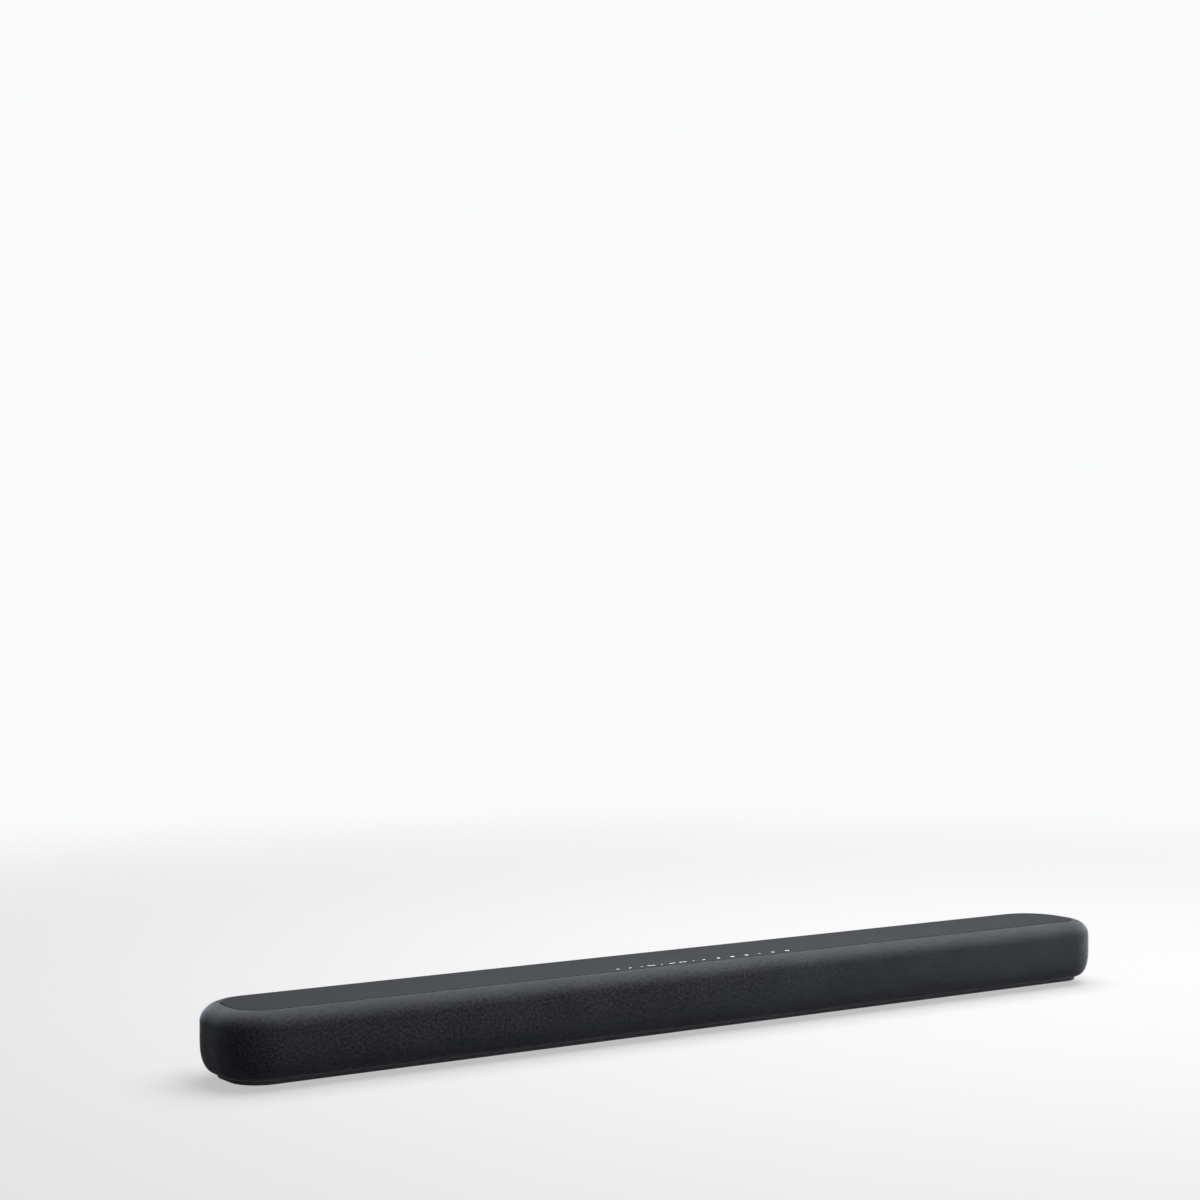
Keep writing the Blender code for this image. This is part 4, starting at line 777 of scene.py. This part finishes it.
steel = moulded("painted_basket_steel", (0.030, 0.030, 0.032), 0.38, 0.0016, 0.00003, 0.08)
ferrite = moulded("ferrite", (0.050, 0.050, 0.053), 0.62, 0.0005, 0.00005, 0.22)
paper_pulp = moulded("pressed_paper", (0.040, 0.040, 0.041), 0.88, 0.0009, 0.00010, 0.22)
roll_rubber = moulded("surround_rubber", (0.016, 0.016, 0.017), 0.58, 0.0008, 0.00003, 0.15)
for side in ("outer_left", "inner_left", "inner_right", "outer_right"):
    low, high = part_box("woofer_basket_" + side)
    x, z = (low.x + high.x) / 2, (low.z + high.z) / 2
    flange_r = (high.x - low.x) / 2
    face, foot = BAFFLE_Y - low.y, BAFFLE_Y - high.y
    low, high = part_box("woofer_magnet_" + side)
    magnet_r = (high.x - low.x) / 2
    front, rear = BAFFLE_Y - low.y, BAFFLE_Y - high.y
    driver_part("woofer_basket_" + side, "basket_steel", steel, [
        (SURROUND_OUT - BASKET_WALL, face), (flange_r, face), (flange_r, FLANGE_SEAT),
        (THROAT_R, FLANGE_SEAT), (THROAT_R, -BASKET_WALL), (magnet_r, foot), (COIL_R + 2 * COIL_WALL, foot),
        (COIL_R + 2 * COIL_WALL, foot + BASKET_WALL), (magnet_r - BASKET_WALL / 2, foot + BASKET_WALL),
        (THROAT_R - BASKET_WALL, -BASKET_WALL), (SURROUND_OUT - BASKET_WALL, -BASKET_WALL),
    ], x, z, edge=DRIVER_EDGE)
    pole_r, gap_r, plate = COIL_R - POLE_STEP, COIL_R + COIL_ROOM, rear + BASKET_WALL
    driver_part("woofer_magnet_" + side, "magnet", ferrite, [
        (0.0, front), (pole_r, front), (pole_r, plate), (gap_r, plate), (gap_r, front),
        (magnet_r, front), (magnet_r, rear), (0.0, rear),
    ], x, z, edge=MAGNET_EDGE)
    driver_part("woofer_cone_" + side, "cone_paper", paper_pulp, cone_profile(), x, z, "cone_" + side)
    # The surround bends between basket and cone: all cone at its inner lip, all basket at its outer.
    name = "woofer_surround_" + side
    mesh = turned_mesh(name, surround_profile(), ROUND, facing_front(x, z))
    roll = piece("finished_" + name, mesh, None, "surround_rubber", roll_rubber, name)
    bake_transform(roll, "cabinet", "cone_" + side,
             start=(x + SURROUND_OUT, BAFFLE_Y, z), end=(x + SURROUND_IN, BAFFLE_Y, z))
    points = np.zeros(len(mesh.vertices) * 3, np.float32)
    mesh.vertices.foreach_get("co", points)
    points = points.reshape(-1, 3)
    away = np.hypot(points[:, 0] - x, points[:, 2] - z)
    share = np.clip((SURROUND_OUT - away) / (SURROUND_OUT - SURROUND_IN), 0.0, 1.0)
    share = (share * share * (3 - 2 * share)).astype(np.float32)
    mesh.attributes["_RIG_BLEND"].data.foreach_set("value", share)


# ---- tweeters -----------------------------------------------------------------------------
# Two soft-dome units beside the outer woofers: a moulded face plate with a short horn, a magnet, and
# a coated silk dome on its voice coil.
DOME_R = 0.0090
DOME_RISE = 0.0030
DOME_WALL = 0.0005
DOME_BASE = -0.0010
DOME_COIL = 0.0035
DOME_ROOM = 0.0008
HORN_LIP_R = 0.0118
HORN_THROAT_R = 0.0133
PLATE_BACK = DOME_BASE - DOME_COIL

face_plastic = moulded("tweeter_face_moulding", (0.026, 0.026, 0.027), 0.42, 0.0007, 0.00004)
silk = moulded("coated_silk", (0.030, 0.029, 0.028), 0.34, 0.00028, 0.00003, 0.20)
for side in ("left", "right"):
    low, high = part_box("tweeter_face_" + side)
    x, z = (low.x + high.x) / 2, (low.z + high.z) / 2
    flange_r = (high.x - low.x) / 2
    face = BAFFLE_Y - low.y
    turn = np.linspace(0.0, math.pi / 2, 10)
    horn = np.stack([
        DOME_R + DOME_ROOM + (HORN_LIP_R - DOME_R - DOME_ROOM) * (1 - np.cos(turn)),
        DOME_BASE + (face - DOME_BASE) * np.sin(turn),
    ], 1)
    rest = [
        (flange_r, face), (flange_r, FLANGE_SEAT), (HORN_THROAT_R, FLANGE_SEAT),
        (HORN_THROAT_R, PLATE_BACK), (horn[0, 0], PLATE_BACK),
    ]
    driver_part("tweeter_face_" + side, "tweeter_plastic", face_plastic, [*horn, *rest], x, z,
                edge=DRIVER_EDGE)
    low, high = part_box("tweeter_magnet_" + side)
    magnet_r = (high.x - low.x) / 2
    front, rear = BAFFLE_Y - low.y, BAFFLE_Y - high.y
    pole_r, gap_r, plate = DOME_R - COIL_WALL - DOME_ROOM, DOME_R + DOME_ROOM, rear + 2 * BASKET_WALL
    driver_part("tweeter_magnet_" + side, "magnet", ferrite, [
        (0.0, front), (pole_r, front), (pole_r, plate), (gap_r, plate), (gap_r, front),
        (magnet_r, front), (magnet_r, rear), (0.0, rear),
    ], x, z, edge=MAGNET_EDGE)
    turn = np.linspace(0.0, math.pi / 2, 14)
    inner = DOME_R - COIL_WALL
    dome = np.stack([DOME_R * np.sin(turn), DOME_BASE + DOME_RISE * np.cos(turn)], 1)
    under = np.stack([inner * np.sin(turn), DOME_BASE - DOME_WALL + DOME_RISE * np.cos(turn)], 1)[::-1]
    foot = front - DOME_COIL
    driver_part("tweeter_dome_" + side, "dome_cloth", silk,
                [*dome, (DOME_R, foot), (inner, foot), *under], x, z, "dome_" + side)


# ---- circuit boards -----------------------------------------------------------------------
# Main, power, touch and wireless boards: solder mask over copper tracks, rows of plated holes, and
# black epoxy or tinned parts that stand on them.
TRACK_PITCH = 0.00127
HOLE_PITCH = 0.00254
BOARD_THICKNESS = 0.0016
SHIELD_EDGE = 0.0002
GREEN, GREEN_COPPER = (0.008, 0.060, 0.026), (0.020, 0.115, 0.050)
BUFF, BUFF_COPPER = (0.17, 0.105, 0.040), (0.30, 0.19, 0.08)
BLUE, BLUE_COPPER = (0.006, 0.040, 0.085), (0.012, 0.075, 0.150)
EPOXY = (0.018, 0.018, 0.019)
TIN = (0.55, 0.54, 0.52)
SHIELD_STEEL = (0.62, 0.62, 0.60)


def circuit(name, mask, copper, top, part_colour, part_metallic):
    """A board's finish: tracks run one way or the other by patches, and holes sit on a square grid.

    Above the board's top face the finish is that of the parts that stand on it.
    """
    finish = Finish(name)
    place = finish.place()
    x, y, z = finish.axes(place)
    patch = finish.step(finish.noise(place, 0.011, 1.0), 0.49, 0.51)
    gate = finish.step(finish.noise(place, 0.0045, 1.0), 0.46, 0.48)
    across = abs((x / TRACK_PITCH).part() - 0.5)
    down = abs((y / TRACK_PITCH).part() - 0.5)
    track = (1 - finish.step(across, 0.13, 0.18)) * patch + (1 - finish.step(down, 0.13, 0.18)) * (1 - patch)
    hole_x = (x / HOLE_PITCH).part() - 0.5
    hole_y = (y / HOLE_PITCH).part() - 0.5
    away = hole_x * hole_x + hole_y * hole_y
    ring = 1 - finish.step(away, 0.030, 0.036)
    bore = 1 - finish.step(away, 0.008, 0.011)
    chosen = finish.step(finish.noise(place, 0.006, 1.0), 0.54, 0.56)
    tinned = ring * chosen
    standing = finish.step(z, top + 0.00005, top + 0.00015)
    colour = finish.blend(track * gate, mask, copper)
    colour = finish.blend(tinned, colour, TIN)
    colour = finish.blend(bore * chosen, colour, (0.01, 0.01, 0.01))
    grit = finish.noise(place, 0.0004, 2.0)
    dull = finish.blend(grit, tuple(c * 0.8 for c in part_colour), part_colour)
    colour = finish.blend(standing, colour, dull)
    flat_metal = tinned * (1 - bore * chosen)
    return finish.wear({
        "Base Color": colour,
        "Metallic": flat_metal * (1 - standing) + standing * part_metallic,
        "Roughness": 0.34 + standing * 0.18 + grit * 0.10,
        "Normal": finish.bump(track * gate * (1 - standing) * 0.6 + grit * 0.1, 0.00004),
    })


board_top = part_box("main_board")[0].z + BOARD_THICKNESS
touch_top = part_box("touch_board")[1].z
wireless_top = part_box("wireless_module")[0].z + BOARD_THICKNESS
for node, mask, copper, top, part_colour, part_metallic, edge in (
    ("main_board", GREEN, GREEN_COPPER, board_top, EPOXY, 0.0, 0.0),
    ("power_board", BUFF, BUFF_COPPER, board_top, EPOXY, 0.0, 0.0),
    ("touch_board", GREEN, GREEN_COPPER, touch_top, EPOXY, 0.0, 0.0),
    ("wireless_module", BLUE, BLUE_COPPER, wireless_top, SHIELD_STEEL, 1.0, SHIELD_EDGE),
):
    finish = circuit(node + "_finish", mask, copper, top, part_colour, part_metallic)
    refined(node, "board", finish, edge)


# ---- power parts --------------------------------------------------------------------------
# On the power board: a ferrite transformer wound in yellow tape, and a sleeved electrolytic can
# lying on its side. On the main board: a fin heat sink, black anodised.
TAPE_STAND = 0.0020
TAPE_TURN = 0.0009
FIN_EDGE = 0.0003
SLEEVE = (0.012, 0.017, 0.050)
STRIPE = (0.42, 0.44, 0.48)
BARE_CAN = (0.72, 0.72, 0.73)


def wound_core(node):
    """Dark ferrite, and yellow tape on what stands proud of the core along Y."""
    low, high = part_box(node)
    finish = Finish("wound_core")
    place = finish.place()
    _, y, z = finish.axes(place)
    out = abs(y - (low.y + high.y) / 2)
    half = (high.y - low.y) / 2
    tape = finish.step(out, half - TAPE_STAND + 0.00005, half - TAPE_STAND + 0.00020)
    wrap = abs((z / TAPE_TURN).part() - 0.5)
    grit = finish.noise(place, 0.0005, 3.0)
    stone = finish.blend(grit, (0.030, 0.030, 0.032), (0.060, 0.060, 0.063))
    yellow = finish.blend(finish.step(wrap, 0.40, 0.49), (0.62, 0.40, 0.030), (0.34, 0.20, 0.012))
    return finish.wear({
        "Base Color": finish.blend(tape, stone, yellow),
        "Roughness": 0.66 - tape * 0.34 + (grit - 0.5) * 0.1,
        "Normal": finish.bump(grit * (1 - tape) + wrap * tape, 0.00005),
    })


def sleeved_can(node):
    """A dark blue shrink sleeve with a pale stripe down one side, open on the bare end of the can."""
    low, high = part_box(node)
    finish = Finish("sleeved_can")
    place = finish.place()
    x, y, z = finish.axes(place)
    off_x, off_z = x - (low.x + high.x) / 2, z - (low.z + high.z) / 2
    radius = (high.x - low.x) / 2
    away = off_x * off_x + off_z * off_z
    end_face = 1 - finish.step(y, low.y + 0.0001, low.y + 0.0002)
    bare = end_face * (1 - finish.step(away, (radius * 0.84) ** 2, (radius * 0.88) ** 2))
    stripe = finish.step(off_z, radius * 0.80, radius * 0.84)
    dust = finish.noise(place, 0.0012, 3.0)
    film = finish.blend(stripe, SLEEVE, STRIPE)
    film = finish.blend(dust * 0.35, film, (0.05, 0.055, 0.075))
    return finish.wear({
        "Base Color": finish.blend(bare, film, BARE_CAN),
        "Metallic": bare,
        "Roughness": 0.26 + dust * 0.16,
        "Normal": finish.bump(dust, 0.00003),
    })


refined("transformer", "transformer", wound_core("transformer"), 0.0)
refined("filter_capacitor", "capacitor", sleeved_can("filter_capacitor"), FIN_EDGE, crease=40.0)
anodised = plated("black_anodised", (0.10, 0.10, 0.105), 0.44, 0.0010, (1.0, 0.08, 1.0))
refined("heat_sink", "heat_sink", anodised, FIN_EDGE)


# ---- light guide --------------------------------------------------------------------------
# A milky acrylic bar that lies between the touch board's lamps and the panel. It spreads the light
# under the status marks.
milky = moulded("milky_acrylic", (0.78, 0.79, 0.80), 0.24, 0.0016, 0.00002, 0.04,
                {"Transmission Weight": 0.45, "IOR": 1.49})
refined("light_guide", "light_guide", milky, 0.0)


# ---- sockets ------------------------------------------------------------------------------
# In the connector bay: two HDMI-type and one USB-type pressed shells with a contact tongue, and an
# optical port behind a hinged shutter. In the inlet bay: a figure-8 mains inlet with two pins.
TONGUE_HALF = 0.0006
CONTACT_WIDTH = 0.00030
CONTACT_STAND = 0.00008
CONTACT_SINK = 0.00001
CONTACT_LENGTH = 0.0075
CONTACT_SETBACK = 0.0021
HDMI_PITCH = 0.0010
USB_PITCH = 0.0022
SHELL_EDGE = 0.00012
SOCKET_EDGE = 0.0002
SHUTTER_EDGE = 0.0001
BLACK_TONGUE = (0.014, 0.014, 0.015)
WHITE_TONGUE = (0.62, 0.62, 0.60)
INLET_PORT_DEPTH = 0.0125
INLET_PIN_R = 0.0012
INLET_PIN_PITCH = 0.0086


def pressed_shell(node, tongue_colour):
    """Nickel-plated sheet round a plastic tongue, which is what lies near the middle of the socket."""
    low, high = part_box(node)
    finish = Finish(node + "_finish")
    place = finish.place()
    x, y, z = finish.axes(place)
    flat = 1 - finish.step(abs(z - (low.z + high.z) / 2), TONGUE_HALF + 0.00008, TONGUE_HALF + 0.00016)
    half = (high.x - low.x) / 2
    wide = 1 - finish.step(abs(x - (low.x + high.x) / 2), half - 0.0013, half - 0.0011)
    inside = finish.step(y, low.y + 0.00070, low.y + 0.00085)
    tongue = flat * wide * inside
    drawn = finish.node("Mapping", inputs={"Vector": place, "Scale": (1.0, 0.1, 1.0)})
    scratch = finish.noise(drawn, 0.0003, 3.0)
    nickel = finish.blend(scratch, (0.52, 0.52, 0.51), (0.66, 0.66, 0.65))
    return finish.wear({
        "Base Color": finish.blend(tongue, nickel, tongue_colour),
        "Metallic": 1 - tongue,
        "Roughness": 0.24 + scratch * 0.16 + tongue * 0.20,
        "Normal": finish.bump(scratch, 0.00001),
    })


def boxes_mesh(name, lows, highs):
    """A mesh of separate boxes from arrays of their lowest and highest corners."""
    corner = np.array([(i, j, k) for i in (0, 1) for j in (0, 1) for k in (0, 1)], float)
    lows, highs = np.asarray(lows, float)[:, None], np.asarray(highs, float)[:, None]
    points = lows + (highs - lows) * corner[None]
    faces = (BOX_SIDES[None] + 8 * np.arange(len(points))[:, None, None]).reshape(-1, 4)
    mesh = bpy.data.meshes.new(name)
    mesh.from_pydata(points.reshape(-1, 3), [], faces)
    return mesh


def contact_mesh(node, rows):
    """Sprung contacts along a tongue: rows of (count, pitch, side), side +1 above it and -1 below."""
    low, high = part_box(node)
    lows, highs = [], []
    for count, pitch, side in rows:
        xs = (low.x + high.x) / 2 + (np.arange(count) - (count - 1) / 2) * pitch
        z = (low.z + high.z) / 2 + side * (TONGUE_HALF + CONTACT_STAND / 2)
        front = high.y - CONTACT_SETBACK
        half = (CONTACT_WIDTH / 2, 0.0, CONTACT_STAND / 2 + CONTACT_SINK)
        back_ends = np.column_stack([xs, np.full(count, front - CONTACT_LENGTH), np.full(count, z)])
        front_ends = np.column_stack([xs, np.full(count, front), np.full(count, z)])
        lows.append(back_ends - half)
        highs.append(front_ends + half)
    return boxes_mesh(node + "_contacts", np.concatenate(lows), np.concatenate(highs))


gold = plated("gold_flash", (0.86, 0.62, 0.26), 0.22, 0.0004)
for node in ("hdmi_input", "hdmi_output"):
    refined(node, "socket_metal", pressed_shell(node, BLACK_TONGUE), SHELL_EDGE)
    mesh = contact_mesh(node, ((10, HDMI_PITCH, 1), (9, HDMI_PITCH, -1)))
    piece(node + "_contacts", mesh, "cabinet", "socket_metal", gold)
refined("usb_socket", "socket_metal", pressed_shell("usb_socket", WHITE_TONGUE), SHELL_EDGE)
mesh = contact_mesh("usb_socket", ((4, USB_PITCH, -1),))
piece("usb_socket_contacts", mesh, "cabinet", "socket_metal", gold)

socket_black = moulded("socket_moulding", (0.016, 0.016, 0.017), 0.44, 0.0005, 0.00003)
refined("optical_socket", "socket_plastic", socket_black, SOCKET_EDGE)
refined("optical_shutter", "socket_plastic", socket_black, SHUTTER_EDGE, body="shutter")


def pinned_inlet(node):
    """Glossy black moulding with two plated pins standing in its port."""
    low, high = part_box(node)
    finish = Finish("inlet_finish")
    place = finish.place()
    x, y, z = finish.axes(place)
    off_x = abs(x - (low.x + high.x) / 2) - INLET_PIN_PITCH / 2
    off_z = z - (low.z + high.z) / 2
    reach = (INLET_PIN_R + 0.00006) ** 2
    near = 1 - finish.step(off_x * off_x + off_z * off_z, reach, reach * 1.1)
    root = high.y - INLET_PORT_DEPTH
    pin = near * finish.step(y, root + 0.00002, root + 0.00010)
    grit = finish.noise(place, 0.0006, 3.0)
    black = finish.blend(grit, (0.013, 0.013, 0.014), (0.020, 0.020, 0.021))
    return finish.wear({
        "Base Color": finish.blend(pin, black, (0.68, 0.66, 0.60)),
        "Metallic": pin,
        "Roughness": 0.30 + grit * 0.14 - pin * 0.06,
        "Normal": finish.bump(grit, 0.00003),
    })


refined("power_inlet", "socket_plastic", pinned_inlet("power_inlet"), SOCKET_EDGE)


# ---- leads --------------------------------------------------------------------------------
# Speaker harnesses and the power lead in black PVC, and the touch board's flat ribbon, whose copper
# strips show through its pale film.
CONDUCTOR_PITCH = 0.0010
LEAD_CREASE = 60.0

pvc = moulded("black_pvc", (0.018, 0.018, 0.019), 0.48, 0.0014, 0.00004)
for node in ("speaker_harness_left", "speaker_harness_right", "power_lead"):
    refined(node, "lead", pvc, 0.0, crease=LEAD_CREASE)

film = Finish("ribbon_film")
place = film.place()
copper_strip = film.step(abs((film.axes(place)[0] / CONDUCTOR_PITCH).part() - 0.5), 0.18, 0.26)
haze = film.noise(place, 0.003, 2.0)
strip_colour = film.blend(copper_strip, (0.50, 0.40, 0.27), (0.62, 0.61, 0.57))
film.wear({
    "Base Color": film.blend(haze * 0.3, strip_colour, (0.55, 0.55, 0.52)),
    "Roughness": 0.34 + haze * 0.16,
    "Normal": film.bump(copper_strip, 0.00004),
})
refined("touch_ribbon", "ribbon", film.material, 0.0, crease=LEAD_CREASE)


# ---- floor, backdrop and lights -----------------------------------------------------------
# A pale paper floor that fades into a plain backdrop of the same tone, under one large soft light
# overhead and a dim sky that is brighter towards the right.
FLOOR_REACH = 30.0
PAPER = (0.955, 0.96, 0.965)
PAPER_SHADE, PAPER_LIGHT = (0.325, 0.327, 0.330), (0.340, 0.341, 0.343)
PAPER_BOUNCE = (0.24, 0.24, 0.25)
FLOOR_GLOW = 0.52
SKY_LOW, SKY_RISE = 0.13, 0.30
SKY_LEFT, SKY_GAIN = 0.22, 0.66
SKY_EAST_CUT = 0.8

ring = np.array([0.0, 1.5, 4.0, FLOOR_REACH])[:, None]
angle = np.linspace(0.0, 2 * math.pi, 64, endpoint=False)[None]
floor_points = np.stack([ring * np.cos(angle), ring * np.sin(angle), 0 * ring * angle], -1)
floor_mesh = grid_mesh("studio_floor", floor_points[:, ::-1], wrap=(False, True))
floor = bpy.data.objects.new("studio_floor", floor_mesh)
bpy.context.scene.collection.objects.link(floor)
paper = Finish("floor_paper", {"Roughness": 0.9, "Specular IOR Level": 0.1})
place = paper.place()
cloud = paper.noise(place, 0.9, 2.0)
pale = paper.blend(cloud, PAPER_SHADE, PAPER_LIGHT)
seen = paper.node("LightPath", output="Is Camera Ray")
paper.wear({"Base Color": paper.blend(seen, PAPER_BOUNCE, pale)})
glow = paper.node("Emission", inputs={"Color": PAPER, "Strength": 1.0})
away = paper.node("VectorMath", {"operation": "LENGTH"}, {0: place}, output="Value")
# The camera sees the floor at least half glowing in the paper's tone, a painted lightening of the shadow
# that the bar casts on it; farther out the glow takes over and the floor becomes the backdrop. Bounced light
# sees a darker paper.
painted_glow_share = seen * (FLOOR_GLOW + paper.step(away, 0.5, 2.2) * (1 - FLOOR_GLOW))
fade = paper.node("MixShader", inputs={0: painted_glow_share, 1: Signal(paper.shader.outputs[0]), 2: glow})
connect(paper.tree.nodes["Material Output"].inputs["Surface"], fade)
floor_mesh.materials.append(paper.material)

world = bpy.data.worlds.new("studio")
world.use_nodes = True
bpy.context.scene.world = world
sky = Nodes(world.node_tree)
east, _, zenith = sky.axes(sky.node("TexCoord", output="Generated"))
overhead = sky.step(zenith, 0.0, 0.9)
rightwards = sky.step(east, -0.7, 0.8)
shaded = 1 - sky.step(east, 0.50, 0.90) * SKY_EAST_CUT
strength = (SKY_LOW + overhead * SKY_RISE) * (SKY_LEFT + rightwards * SKY_GAIN) * shaded
seen = sky.node("LightPath", output="Is Camera Ray")
lit = sky.node("Background", inputs={"Color": (1.0, 1.0, 1.0), "Strength": strength})
backdrop = sky.node("Background", inputs={"Color": PAPER, "Strength": 1.0})
connect(world.node_tree.nodes["World Output"].inputs["Surface"],
        sky.node("MixShader", inputs={0: seen, 1: lit, 2: backdrop}))


def softbox(name, place, target, width, depth, power):
    """A rectangular soft light at a place, turned to its target."""
    data = bpy.data.lights.new(name, "AREA")
    data.shape = "RECTANGLE"
    data.size = width
    data.size_y = depth
    data.energy = power
    made = bpy.data.objects.new(name, data)
    bpy.context.scene.collection.objects.link(made)
    made.location = place
    made.rotation_euler = (Vector(target) - Vector(place)).to_track_quat("-Z", "Y").to_euler()
    made.visible_camera = False
    return made


softbox("overhead_softbox", (0.62, 0.0, 1.50), (0.62, 0.0, 0.0), width=2.1, depth=2.2, power=106.0)
bpy.context.scene.view_settings.view_transform = "Standard"
